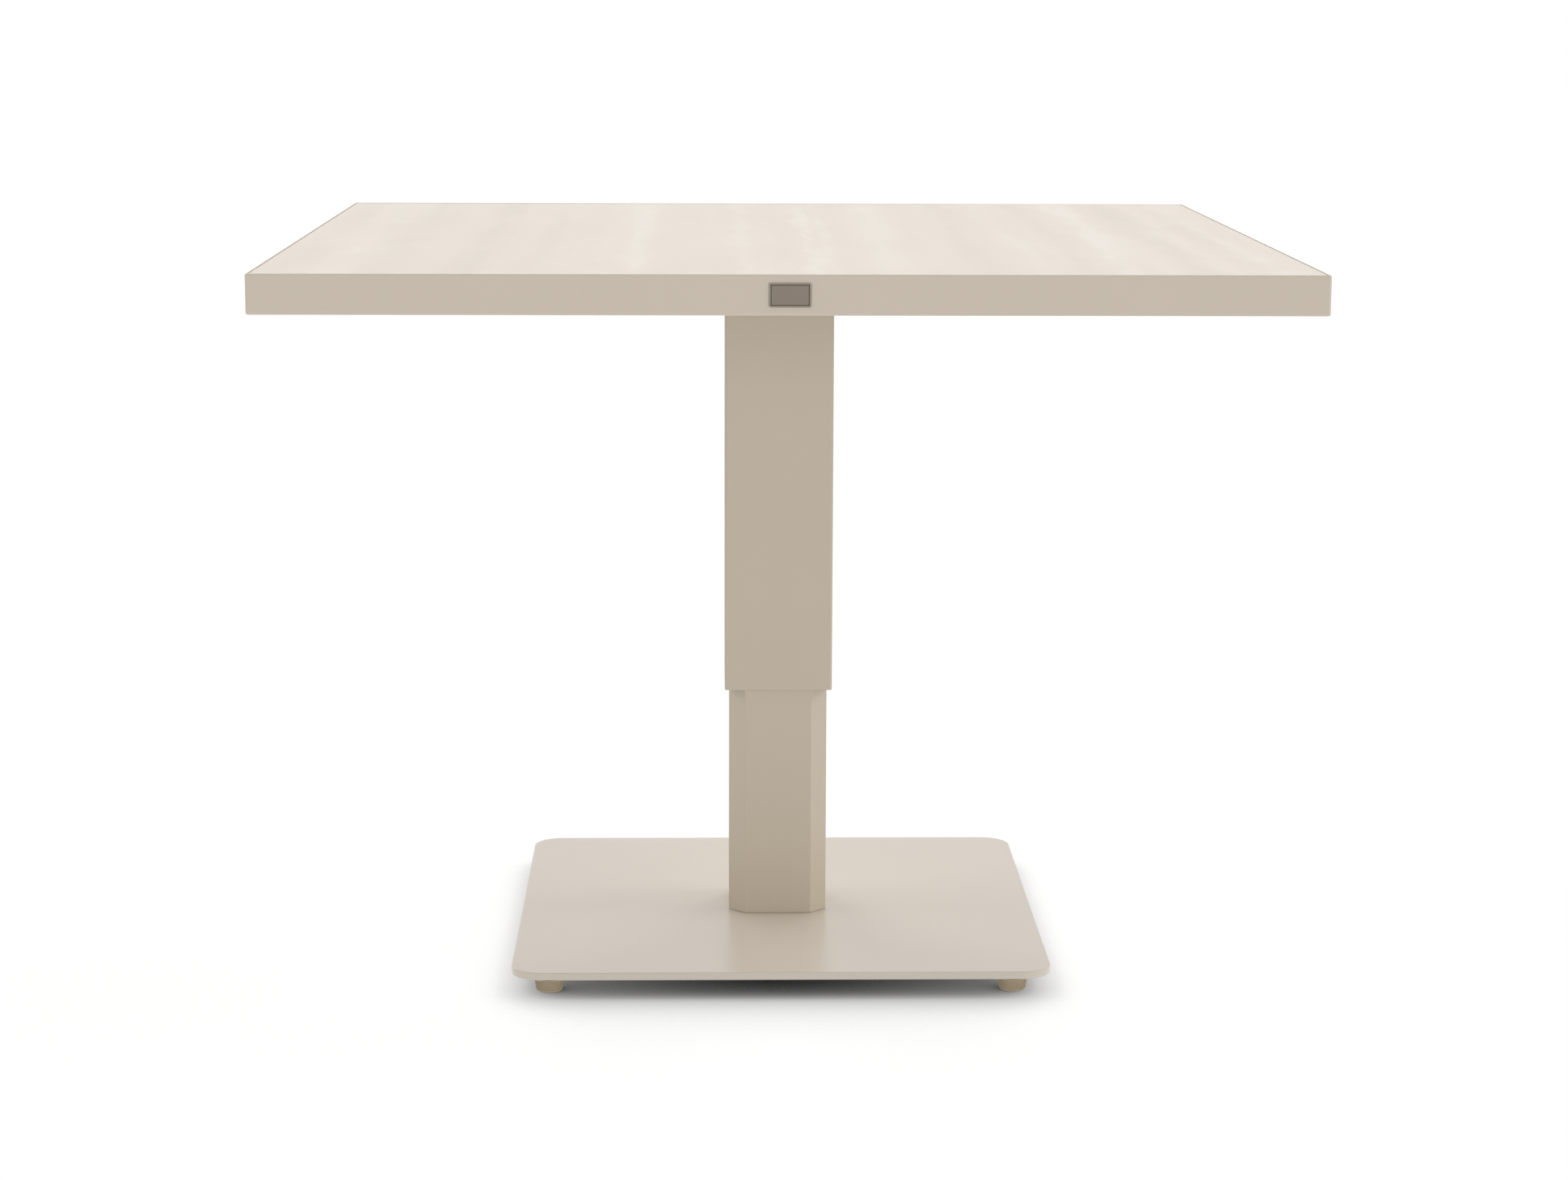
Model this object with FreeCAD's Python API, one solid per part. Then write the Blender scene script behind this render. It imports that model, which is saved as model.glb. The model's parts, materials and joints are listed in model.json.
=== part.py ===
"""Telescoping pedestal table: a square framed top on a two-part column that slides over a
lockable gas spring, on a flat square base with four levelling feet.

Frame: millimetres, +Z up, +X to the right and +Y to the back. The origin is on the floor,
under the middle of the column. The table stands fully raised.
"""
import FreeCAD, Part
import math
import os

Vector = FreeCAD.Vector
UP = Vector(0, 0, 1)

# ---- driving dimensions, mm -------------------------------------------------------------

# whole table
table_height = 760.0        # floor to the rim of the top, fully raised
travel = 245.0              # how far the top comes down
park_gap = 3.0              # outer column above the base plate, fully lowered

# square top and its aluminium frame
top_side = 1000.0
frame_height = 38.0
frame_width = 40.0
frame_wall = 2.2
frame_corner_radius = 2.5
frame_edge_chamfer = 0.9
slab_thickness = 8.0
slab_gap = 0.6              # between the slab's edge and the rim
slab_edge_chamfer = 0.5
rim_over_slab = 0.3
pad_height = 1.5
pad_side = 12.0
pads_per_side = 3

# corner cleats inside the frame
cleat_arm = 80.0
cleat_gap = 0.2
cleat_wall = 3.0
cleat_pockets = 3

# cross rails under the slab
cross_rail_width = 40.0
cross_rail_wall = 2.0
cross_rail_edge = 1.2
cross_rail_offset = 110.0   # rail's middle from the table's middle

# bare plate on the front of the frame
badge_width = 39.0
badge_height = 22.5
badge_thickness = 1.0
badge_corner_radius = 1.5
badge_border_inset = 1.2
badge_border_width = 0.7
badge_border_height = 0.3

# steel plate between the column and the cross rails
head_plate_length = 200.0
head_plate_thickness = 6.0
head_plate_corner_cut = 12.0
head_bolt_spacing = 160.0

# columns
outer_side = 115.0
outer_wall = 3.0
outer_corner_radius = 3.0
outer_bore_radius = 1.0     # inside corners of the outer column
guide_space = 2.0           # between the two columns' walls
inner_wall = 3.0
inner_chamfer = 17.0        # leg of the inner column's corner chamfer
inner_edge_radius = 2.0
cap_head_height = 30.0
cap_plug_depth = 28.0
cap_wall = 3.0
cap_head_room = 25.0        # under the head plate, fully lowered
collar_height = 45.0
collar_recess = 1.5
slide_clearance = 0.3
fixed_clearance = 0.1

# base plate, seen from above a square with round corners
base_side = 555.0
base_thickness = 8.0
base_corner_radius = 32.0
base_top_edge_chamfer = 1.0
base_bottom_edge_chamfer = 0.8

# plate welded inside the foot of the inner column, and its bolts
foot_plate_thickness = 8.0
foot_bolt_spacing = 60.0

# levelling feet
foot_inset = 38.5           # foot's axis from the base plate's edges
glide_height = 13.6
glide_top_diameter = 31.0
glide_bottom_diameter = 27.0
glide_edge = 2.0
glide_flats = 36            # grip flats round the glide
stem_depth = 5.0            # foot's screw in the base plate
stem_end_gap = 0.5
weld_nut_height = 6.5
weld_nut_flats = 14.0
foot_gap = 0.9              # between the glide and the weld nut

# screws
m8_diameter = 8.0
m8_flats = 13.0
m8_head_height = 5.3
hole_clearance = 0.5        # round a screw in a plain hole
thread_clearance = 0.05     # round a screw in its thread
rivet_nut_flats = 11.0
rivet_nut_length = 16.0

# gas spring
spring_diameter = 28.0
spring_wall = 1.75
spring_foot = 13.0          # from the foot plate up to the cylinder
spring_end = 8.0            # solid end of the cylinder
spring_below_cap = 3.0
spring_hub_clearance = 0.5
rod_diameter = 10.0
rod_above_plate = 7.0
running_clearance = 0.06
piston_height = 14.0
piston_bump_gap = 2.0
spring_head_height = 24.0   # guide and seals for the rod, in the cylinder's end
m10_flats = 17.0
m10_jam_height = 5.0
release_rod_diameter = 4.0
release_rod_above = 4.0     # above the piston rod's end
release_travel = 3.5
release_end_gap = 1.0       # inside the piston rod's end, pressed

# release lever
lever_thickness = 5.0
lever_width = 20.0
lever_eye_radius = 6.0
lever_headroom = 4.0        # between the eye and the slab
lever_pivot_x = 50.0
lever_nose_x = -8.0
lever_bend_x = 108.0
lever_drop = 36.0
lever_drop_length = 32.0
lever_end_x = 440.0
lever_bend_radius = 6.0
lever_pin_gap = 0.2         # between the lever and the release rod
pivot_diameter = 6.0
pivot_head_diameter = 9.0
pivot_head_height = 1.5
pivot_clip_diameter = 10.0
pivot_clip_thickness = 0.8
bracket_length = 38.0
bracket_wall = 3.0
bracket_side_gap = 0.5
bracket_stop_gap = 0.2
grip_length = 100.0
grip_side_wall = 3.0
grip_face_wall = 4.5
grip_end_wall = 4.0
grip_edge_radius = 5.0
grip_bore_clearance = 0.15

# ---- places worked out from them --------------------------------------------------------

plate_bottom = glide_height + foot_gap + weld_nut_height
plate_top = plate_bottom + base_thickness
foot_offset = base_side / 2 - foot_inset
frame_bottom = table_height - frame_height
slab_top = table_height - rim_over_slab
slab_bottom = slab_top - slab_thickness
ledge = slab_bottom - pad_height
frame_half = top_side / 2
slab_side = top_side - 2 * (frame_wall + slab_gap)
inner_frame_half = frame_half - frame_width

lever_middle = slab_bottom - lever_headroom - lever_eye_radius
lever_bottom = lever_middle - lever_thickness / 2
release_rod_top = lever_bottom - lever_pin_gap
rod_top = release_rod_top - release_rod_above
head_top = rod_top - rod_above_plate
head_bottom = head_top - head_plate_thickness
head_plate_width = 2 * cross_rail_offset + cross_rail_width

outer_bottom = plate_top + park_gap + travel
outer_bore = outer_side - 2 * outer_wall
inner_side = outer_bore - 2 * guide_space
cap_top = head_bottom - travel - cap_head_room
inner_top = cap_top - cap_head_height
foot_plate_top = plate_top + foot_plate_thickness

cylinder_bottom = foot_plate_top + spring_foot
cylinder_top = cap_top - spring_below_cap
cylinder_bore_radius = spring_diameter / 2 - spring_wall
spring_head_bottom = cylinder_top - spring_head_height
piston_top = spring_head_bottom - piston_bump_gap
piston_bottom = piston_top - piston_height
rod_bore_radius = release_rod_diameter / 2 + fixed_clearance


# ---- helpers ----------------------------------------------------------------------------

def block(x0, x1, y0, y1, z0, z1):
    return Part.makeBox(x1 - x0, y1 - y0, z1 - z0, Vector(x0, y0, z0))


def cylinder(radius, z0, z1, x=0.0, y=0.0):
    return Part.makeCylinder(radius, z1 - z0, Vector(x, y, z0))


def edges_along(shape, direction):
    """Straight edges that run along a direction."""
    found = []
    for edge in shape.Edges:
        start, end = edge.Vertexes[0].Point, edge.Vertexes[-1].Point
        if (end - start).Length < 1e-6:
            continue
        if (end - start).normalize().cross(direction).Length < 1e-6:
            found.append(edge)
    return found


def edges_at_height(shape, z):
    """Edges that lie in the level plane at z."""
    box_of = [(edge, edge.BoundBox) for edge in shape.Edges]
    return [e for e, b in box_of if abs(b.ZMin - z) < 1e-4 and abs(b.ZMax - z) < 1e-4]


def prism(points, z0, z1, edge_radius=0.0):
    """Upright prism over a closed outline, its upright edges rounded."""
    corners = [Vector(x, y, z0) for x, y in points]
    face = Part.Face(Part.makePolygon(corners + corners[:1]))
    solid = face.extrude(UP * (z1 - z0))
    if edge_radius > 0:
        solid = solid.makeFillet(edge_radius, edges_along(solid, UP))
    return solid


def square(side):
    h = side / 2
    return [(-h, -h), (h, -h), (h, h), (-h, h)]


def rectangle(length, width):
    a, b = length / 2, width / 2
    return [(-a, -b), (a, -b), (a, b), (-a, b)]


def hexagon(flats, x=0.0, y=0.0):
    radius = flats / math.sqrt(3)
    turns = [math.radians(60 * i + 30) for i in range(6)]
    return [(x + radius * math.cos(t), y + radius * math.sin(t)) for t in turns]


def chamfered_square(grow=0.0):
    """Outline of the inner column: a square with cut corners, moved out by grow."""
    h = inner_side / 2 + grow
    c = inner_chamfer + grow * (2 - math.sqrt(2))
    return [(-h + c, -h), (h - c, -h), (h, -h + c), (h, h - c),
            (h - c, h), (-h + c, h), (-h, h - c), (-h, -h + c)]


def turned(points, x=0.0, y=0.0):
    """Solid of revolution about the upright axis through (x, y), from (radius, z) points."""
    corners = [Vector(r, 0, z) for r, z in points]
    face = Part.Face(Part.makePolygon(corners + corners[:1]))
    solid = face.revolve(Vector(0, 0, 0), UP, 360)
    solid = solid if isinstance(solid, Part.Solid) else solid.Solids[0]
    return solid.translated(Vector(x, y, 0))


def four_corners(offset_x, offset_y):
    return [(sx * offset_x, sy * offset_y) for sx, sy in ((-1, -1), (1, -1), (1, 1), (-1, 1))]


def export(name, shapes):
    shapes = shapes if isinstance(shapes, list) else [shapes]
    solids = [solid for shape in shapes for solid in shape.Solids]
    for solid in solids:
        if not solid.isValid() or solid.Volume <= 0:
            raise ValueError(name + " has a solid that isn't valid")
    Part.makeCompound(solids).exportStep("parts/" + name + ".step")
    print(name, len(solids), "solid(s)", round(sum(s.Volume for s in solids) / 1000, 1), "cm3")


def hexagon_screw(x, y, seat, top):
    """M8 screw that points up, the top of its head at the seat."""
    head = prism(hexagon(m8_flats, x, y), seat - m8_head_height, seat)
    return head.fuse(cylinder(m8_diameter / 2, seat, top, x, y))


# ---- base -------------------------------------------------------------------------------

def base_plate():
    plate = prism(square(base_side), plate_bottom, plate_top, base_corner_radius)
    plate = plate.makeChamfer(base_top_edge_chamfer, edges_at_height(plate, plate_top))
    plate = plate.makeChamfer(base_bottom_edge_chamfer, edges_at_height(plate, plate_bottom))
    hole = m8_diameter / 2 + hole_clearance
    for x, y in four_corners(foot_bolt_spacing / 2, foot_bolt_spacing / 2):
        plate = plate.cut(cylinder(hole, plate_bottom, plate_top, x, y))
    stem_hole_top = plate_bottom + stem_depth + stem_end_gap
    for x, y in four_corners(foot_offset, foot_offset):
        plate = plate.cut(cylinder(hole, plate_bottom, stem_hole_top, x, y))
    return plate


def weld_nut(x, y):
    bottom = plate_bottom - weld_nut_height
    nut = prism(hexagon(weld_nut_flats, x, y), bottom, plate_bottom)
    return nut.cut(cylinder(m8_diameter / 2 + running_clearance, bottom, plate_bottom, x, y))


def foot_stem(x, y):
    """The foot's screw, its head pressed into the glide."""
    return hexagon_screw(x, y, glide_height, plate_bottom + stem_depth)


def glide_outline(radius, z):
    turns = [2 * math.pi * i / glide_flats for i in range(glide_flats)]
    return [Vector(radius * math.cos(t), radius * math.sin(t), z) for t in turns]


def flat_sided(outlines):
    """Solid through outlines of one shape and different sizes, with flat faces between."""
    loops = [outlines[0], outlines[-1]]
    for low, high in zip(outlines, outlines[1:]):
        loops += [[low[i - 1], low[i], high[i], high[i - 1]] for i in range(len(low))]
    shell = Part.makeShell([Part.Face(Part.makePolygon(loop + loop[:1])) for loop in loops])
    shell.sewShape()
    return Part.makeSolid(shell)


def foot_glide(x, y):
    """Tapered plastic glide with grip flats and a pocket for the screw's head."""
    r0, r1 = glide_bottom_diameter / 2, glide_top_diameter / 2
    body = flat_sided([glide_outline(r0 - glide_edge, 0), glide_outline(r0, glide_edge),
                       glide_outline(r1, glide_height)])
    if body.Volume < 0:
        body.reverse()
    pocket = prism(hexagon(m8_flats + 2 * thread_clearance),
                   glide_height - m8_head_height - thread_clearance, glide_height)
    return body.cut(pocket).translated(Vector(x, y, 0))


# ---- inner column -----------------------------------------------------------------------

def inner_column():
    outside = prism(chamfered_square(), plate_top, inner_top, inner_edge_radius)
    return outside.cut(prism(chamfered_square(-inner_wall), plate_top, inner_top))


def column_foot_plate():
    fit = -(inner_wall + fixed_clearance)
    plate = prism(chamfered_square(fit), plate_top, foot_plate_top)
    thread = m8_diameter / 2 + thread_clearance
    for x, y in four_corners(foot_bolt_spacing / 2, foot_bolt_spacing / 2):
        plate = plate.cut(cylinder(thread, plate_top, foot_plate_top, x, y))
    stud = rod_diameter / 2 + thread_clearance
    return plate.cut(cylinder(stud, plate_top, foot_plate_top))


def column_foot_bolt(x, y):
    """Hexagon screw, from under the base plate up into the foot plate."""
    return hexagon_screw(x, y, plate_bottom, foot_plate_top)


def inner_guide_cap():
    """Moulded cap on the inner column: a square head that runs in the outer column, a plug
    in the tube, and a ribbed middle that steadies the gas spring."""
    head = prism(square(outer_bore - 2 * slide_clearance), inner_top, cap_top,
                 outer_bore_radius + slide_clearance)
    fit = -(inner_wall + fixed_clearance)
    plug = prism(chamfered_square(fit), inner_top - cap_plug_depth, inner_top)
    cap = head.fuse(plug).removeSplitter()
    bottom = inner_top - cap_plug_depth
    hub_bore = spring_diameter / 2 + spring_hub_clearance
    hub = cylinder(hub_bore + cap_wall, bottom, cap_top)
    hollow = prism(chamfered_square(fit - cap_wall), bottom, cap_top - cap_wall)
    ribs = hub
    reach = outer_side
    for turn in (0, 45, 90, 135):
        rib = block(-reach, reach, -cap_wall / 2, cap_wall / 2, bottom, cap_top)
        ribs = ribs.fuse(rib.rotated(Vector(0, 0, 0), UP, turn))
    cap = cap.cut(hollow.cut(ribs))
    return cap.cut(cylinder(hub_bore, bottom, cap_top))


# ---- gas spring -------------------------------------------------------------------------

def gas_cylinder():
    """Tube with a threaded stud below and a thick end above that guides and seals the rod."""
    r, bore, stud = spring_diameter / 2, cylinder_bore_radius, rod_diameter / 2
    guide = rod_diameter / 2 + running_clearance
    floor = cylinder_bottom + spring_end
    return turned([
        (0, plate_top + 1), (stud, plate_top + 1), (stud, cylinder_bottom),
        (r, cylinder_bottom), (r, cylinder_top), (guide, cylinder_top),
        (guide, spring_head_bottom), (bore, spring_head_bottom), (bore, floor), (0, floor)])


def jam_nut(bottom):
    nut = prism(hexagon(m10_flats), bottom, bottom + m10_jam_height)
    return nut.cut(cylinder(rod_diameter / 2 + thread_clearance, bottom, bottom + m10_jam_height))


def gas_rod():
    """Hollow piston rod with its piston, its upper end threaded into the head plate."""
    r, bore, piston = rod_diameter / 2, rod_bore_radius, cylinder_bore_radius - running_clearance
    return turned([
        (bore, piston_bottom), (piston, piston_bottom), (piston, piston_top),
        (r, piston_top), (r, rod_top), (bore, rod_top)])


def release_rod():
    bottom = piston_bottom + release_travel + release_end_gap
    return cylinder(release_rod_diameter / 2, bottom, release_rod_top)


# ---- outer column and head --------------------------------------------------------------

def outer_column():
    outside = prism(square(outer_side), outer_bottom, head_bottom, outer_corner_radius)
    return outside.cut(prism(square(outer_bore), outer_bottom, head_bottom, outer_bore_radius))


def outer_guide_collar():
    """Plastic bush in the mouth of the outer column, shaped to the inner column."""
    bottom = outer_bottom + collar_recess
    top = bottom + collar_height
    outside = prism(square(outer_bore - 2 * fixed_clearance), bottom, top,
                    outer_bore_radius + fixed_clearance)
    return outside.cut(prism(chamfered_square(slide_clearance), bottom, top))


def head_plate():
    plate = prism(rectangle(head_plate_length, head_plate_width), head_bottom, head_top)
    plate = plate.makeChamfer(head_plate_corner_cut, edges_along(plate, UP))
    for x, y in four_corners(head_bolt_spacing / 2, cross_rail_offset):
        plate = plate.cut(cylinder(m8_diameter / 2 + hole_clearance, head_bottom, head_top, x, y))
    return plate.cut(cylinder(rod_diameter / 2 + thread_clearance, head_bottom, head_top))


def head_bolt(x, y):
    """Hexagon screw, from under the head plate up into a rivet nut."""
    return hexagon_screw(x, y, head_bottom, head_top + rivet_nut_length)


def rivet_nut(x, y):
    top = head_top + rivet_nut_length
    body = prism(hexagon(rivet_nut_flats, x, y), head_top, top)
    return body.cut(cylinder(m8_diameter / 2 + thread_clearance, head_top, top, x, y))


# ---- top --------------------------------------------------------------------------------

def frame_ring():
    """The whole frame: a box section with an outer lip that stands round the slab."""
    ring = prism(square(top_side), frame_bottom, table_height, frame_corner_radius)
    ring = ring.makeChamfer(frame_edge_chamfer, edges_at_height(ring, table_height)
                            + edges_at_height(ring, frame_bottom))
    lip_side = top_side - 2 * frame_wall
    ring = ring.cut(prism(square(lip_side), ledge, table_height))
    ring = ring.cut(prism(square(2 * inner_frame_half), frame_bottom, table_height))
    low, high = frame_bottom + frame_wall, ledge - frame_wall
    cavity = prism(square(lip_side), low, high).cut(
        prism(square(2 * (inner_frame_half + frame_wall)), low, high))
    return ring.cut(cavity)


def frame_rails():
    """The ring parted at its mitres: front, right, back and left rail."""
    ring = frame_ring()
    reach = top_side
    rails = {}
    for i, name in enumerate(("front", "right", "back", "left")):
        wedge = prism([(0, 0), (-reach, -reach), (reach, -reach)], frame_bottom, table_height)
        rails[name] = ring.common(wedge.rotated(Vector(0, 0, 0), UP, 90 * i))
    return rails


def corner_cleat(turn):
    """Cast angle inside the box section, pocketed from above."""
    out = frame_half - frame_wall - cleat_gap
    width = frame_width - 2 * frame_wall - 2 * cleat_gap
    tip, low = out - cleat_arm, frame_bottom + frame_wall + cleat_gap
    high = ledge - frame_wall - cleat_gap
    cleat = prism([(out, out), (tip, out), (tip, out - width), (out - width, out - width),
                   (out - width, tip), (out, tip)], low, high)
    pitch = (cleat_arm - width - cleat_wall) / cleat_pockets
    for i in range(cleat_pockets):
        start = tip + cleat_wall + i * pitch
        pocket = block(start, start + pitch - cleat_wall, out - width + cleat_wall,
                       out - cleat_wall, low + cleat_wall, high)
        cleat = cleat.cut(pocket)
        mirrored = block(out - width + cleat_wall, out - cleat_wall, start,
                         start + pitch - cleat_wall, low + cleat_wall, high)
        cleat = cleat.cut(mirrored)
    return cleat.rotated(Vector(0, 0, 0), UP, turn)


def cross_rail(y):
    """Box rail across the frame, with holes for its rivet nuts."""
    half, wall, length = cross_rail_width / 2, cross_rail_wall, inner_frame_half
    rail = block(-length, length, y - half, y + half, head_top, ledge)
    rail = rail.makeChamfer(cross_rail_edge, edges_along(rail, Vector(1, 0, 0)))
    rail = rail.cut(block(-length, length, y - half + wall, y + half - wall,
                          head_top + wall, ledge - wall))
    for x in (-head_bolt_spacing / 2, head_bolt_spacing / 2):
        rail = rail.cut(prism(hexagon(rivet_nut_flats + 2 * thread_clearance, x, y),
                              head_top, head_top + wall))
    return rail


def tabletop_slab():
    slab = prism(square(slab_side), slab_bottom, slab_top)
    return slab.makeChamfer(slab_edge_chamfer, edges_at_height(slab, slab_top))


def slab_pads():
    """Soft square pads under the slab, on the frame's ledge and on the cross rails."""
    half = pad_side / 2
    line = inner_frame_half + frame_width / 2
    step = 2 * inner_frame_half / (pads_per_side + 1)
    along = [-inner_frame_half + step * (i + 1) for i in range(pads_per_side)]
    spots = []
    for a in along:
        spots += [(a, -line), (a, line), (-line, a), (line, a)]
        spots += [(a, -cross_rail_offset), (a, cross_rail_offset)]
    return [block(x - half, x + half, y - half, y + half, ledge, slab_bottom)
            for x, y in spots]


def badge_plate():
    """Bare plate with a plain raised border, on the front rail."""
    middle = frame_bottom + frame_height / 2

    def upright(width, height, depth0, depth1, radius):
        plate = prism(rectangle(width, height), depth0, depth1, radius)
        plate = plate.rotated(Vector(0, 0, 0), Vector(1, 0, 0), 90)
        return plate.translated(Vector(0, -frame_half, middle))

    plate = upright(badge_width, badge_height, 0, badge_thickness, badge_corner_radius)
    front = badge_thickness + badge_border_height
    width = badge_width - 2 * badge_border_inset
    height = badge_height - 2 * badge_border_inset
    border = upright(width, height, badge_thickness, front, 0)
    inside = upright(width - 2 * badge_border_width, height - 2 * badge_border_width,
                     badge_thickness, front, 0)
    return plate.fuse(border.cut(inside)).removeSplitter()


# ---- release lever ----------------------------------------------------------------------

def lever_bracket():
    """U-shaped bracket on the head plate, with ears for the pivot and a stop for the lever."""
    x0, x1 = lever_pivot_x - bracket_length / 2, lever_pivot_x + bracket_length / 2
    inside = lever_width / 2 + bracket_side_gap
    outside = inside + bracket_wall
    top = lever_middle + lever_eye_radius
    bracket = block(x0, x1, -outside, outside, head_top, head_top + bracket_wall)
    for side in (-1, 1):
        y0, y1 = sorted((side * inside, side * outside))
        ear = block(x0, x1, y0, y1, head_top, top)
        shoulders = [e for e in edges_along(ear, Vector(0, 1, 0))
                     if abs(e.BoundBox.ZMax - top) < 1e-6]
        bracket = bracket.fuse(ear.makeChamfer(lever_eye_radius, shoulders))
    stop = block(x1 - bracket_wall, x1, -inside, inside, head_top,
                 lever_bottom - bracket_stop_gap)
    bracket = bracket.fuse(stop).removeSplitter()
    hole = Part.makeCylinder(pivot_diameter / 2 + thread_clearance, 2 * outside,
                             Vector(lever_pivot_x, -outside, lever_middle), Vector(0, 1, 0))
    return bracket.cut(hole)


def pivot_reach():
    return lever_width / 2 + bracket_side_gap + bracket_wall


def lever_pivot_pin():
    """Headed pin through both ears of the bracket."""
    side = pivot_reach()
    axis = Vector(0, 1, 0)
    end = side + 2 * pivot_clip_thickness + 1
    head = Part.makeCylinder(pivot_head_diameter / 2, pivot_head_height,
                             Vector(lever_pivot_x, -side - pivot_head_height, lever_middle), axis)
    shank = Part.makeCylinder(pivot_diameter / 2, side + end,
                              Vector(lever_pivot_x, -side, lever_middle), axis)
    return head.fuse(shank).removeSplitter()


def lever_pivot_clip():
    """Open retaining ring on the pin's plain end."""
    start = Vector(lever_pivot_x, pivot_reach() + fixed_clearance, lever_middle)
    axis = Vector(0, 1, 0)
    ring = Part.makeCylinder(pivot_clip_diameter / 2, pivot_clip_thickness, start, axis)
    hole = Part.makeCylinder(pivot_diameter / 2 + thread_clearance, pivot_clip_thickness,
                             start, axis)
    gap = pivot_diameter / 4
    slot = block(lever_pivot_x - gap, lever_pivot_x + gap, start.y,
                 start.y + pivot_clip_thickness, lever_middle,
                 lever_middle + pivot_clip_diameter)
    return ring.cut(hole).cut(slot)


def lever_bar():
    """Flat bar with an eye on the pivot, bent down past the head plate."""
    t, low, side = lever_thickness, lever_bottom, lever_width / 2
    foot = low - lever_drop
    slope = math.atan2(lever_drop, lever_drop_length)
    shift = t * math.tan(slope / 2)
    bend, end = lever_bend_x, lever_bend_x + lever_drop_length
    corners = [(lever_nose_x, low), (bend, low), (end, foot), (lever_end_x, foot),
               (lever_end_x, foot + t), (end + shift, foot + t), (bend + shift, low + t),
               (lever_nose_x, low + t)]
    points = [Vector(x, -side, z) for x, z in corners]
    bar = Part.Face(Part.makePolygon(points + points[:1])).extrude(Vector(0, 2 * side, 0))

    def bends(spots):
        edges = [(edge, edge.Vertexes[0].Point) for edge in edges_along(bar, Vector(0, 1, 0))]
        return [edge for edge, p in edges
                if any(math.hypot(p.x - x, p.z - z) < 1e-4 for x, z in spots)]

    bar = bar.makeFillet(lever_bend_radius, bends((corners[1], corners[5])))
    bar = bar.makeFillet(lever_bend_radius + t, bends((corners[2], corners[6])))
    start, axis = Vector(lever_pivot_x, -side, lever_middle), Vector(0, 1, 0)
    eye = Part.makeCylinder(lever_eye_radius, 2 * side, start, axis)
    hole = Part.makeCylinder(pivot_diameter / 2 + running_clearance, 2 * side, start, axis)
    return bar.fuse(eye).removeSplitter().cut(hole)


def lever_grip():
    """Moulded sleeve pushed over the end of the bar."""
    middle = lever_middle - lever_drop
    x0, x1 = lever_end_x + grip_end_wall - grip_length, lever_end_x + grip_end_wall
    bar, side = lever_thickness / 2, lever_width / 2
    grip = block(x0, x1, -side - grip_side_wall, side + grip_side_wall,
                 middle - bar - grip_face_wall, middle + bar + grip_face_wall)
    grip = grip.makeFillet(grip_edge_radius, edges_along(grip, Vector(1, 0, 0)))
    gap = grip_bore_clearance
    return grip.cut(block(x0, lever_end_x + gap, -side - gap, side + gap,
                          middle - bar - gap, middle + bar + gap))


# ---- the whole table --------------------------------------------------------------------

def main():
    os.makedirs("parts", exist_ok=True)
    foot_spots = four_corners(foot_offset, foot_offset)
    foot_names = ("front_left", "front_right", "back_right", "back_left")
    bolt_spots = four_corners(foot_bolt_spacing / 2, foot_bolt_spacing / 2)
    head_spots = four_corners(head_bolt_spacing / 2, cross_rail_offset)

    export("base_plate", base_plate())
    export("weld_nuts", [weld_nut(x, y) for x, y in foot_spots])
    for name, (x, y) in zip(foot_names, foot_spots):
        export("foot_stem_" + name, foot_stem(x, y))
        export("foot_glide_" + name, foot_glide(x, y))

    export("inner_column", inner_column())
    export("column_foot_plate", column_foot_plate())
    export("column_foot_bolts", [column_foot_bolt(x, y) for x, y in bolt_spots])
    export("inner_guide_cap", inner_guide_cap())

    export("gas_cylinder", gas_cylinder())
    export("gas_cylinder_nut", jam_nut(foot_plate_top))
    export("gas_rod", gas_rod())
    export("gas_rod_nut", jam_nut(head_bottom - m10_jam_height))
    export("release_rod", release_rod())

    export("outer_column", outer_column())
    export("outer_guide_collar", outer_guide_collar())
    export("head_plate", head_plate())
    export("head_bolts", [head_bolt(x, y) for x, y in head_spots])
    export("rivet_nuts", [rivet_nut(x, y) for x, y in head_spots])

    for name, rail in frame_rails().items():
        export("frame_rail_" + name, rail)
    export("corner_cleats", [corner_cleat(90 * i) for i in range(4)])
    export("cross_rail_front", cross_rail(-cross_rail_offset))
    export("cross_rail_back", cross_rail(cross_rail_offset))
    export("tabletop_slab", tabletop_slab())
    export("slab_pads", slab_pads())
    export("badge_plate", badge_plate())

    export("lever_bracket", lever_bracket())
    export("lever_pivot_pin", lever_pivot_pin())
    export("lever_pivot_clip", lever_pivot_clip())
    export("lever_bar", lever_bar())
    export("lever_grip", lever_grip())


main()
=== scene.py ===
import bpy
import bmesh
import json
import math
from mathutils import Matrix, Vector


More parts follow.
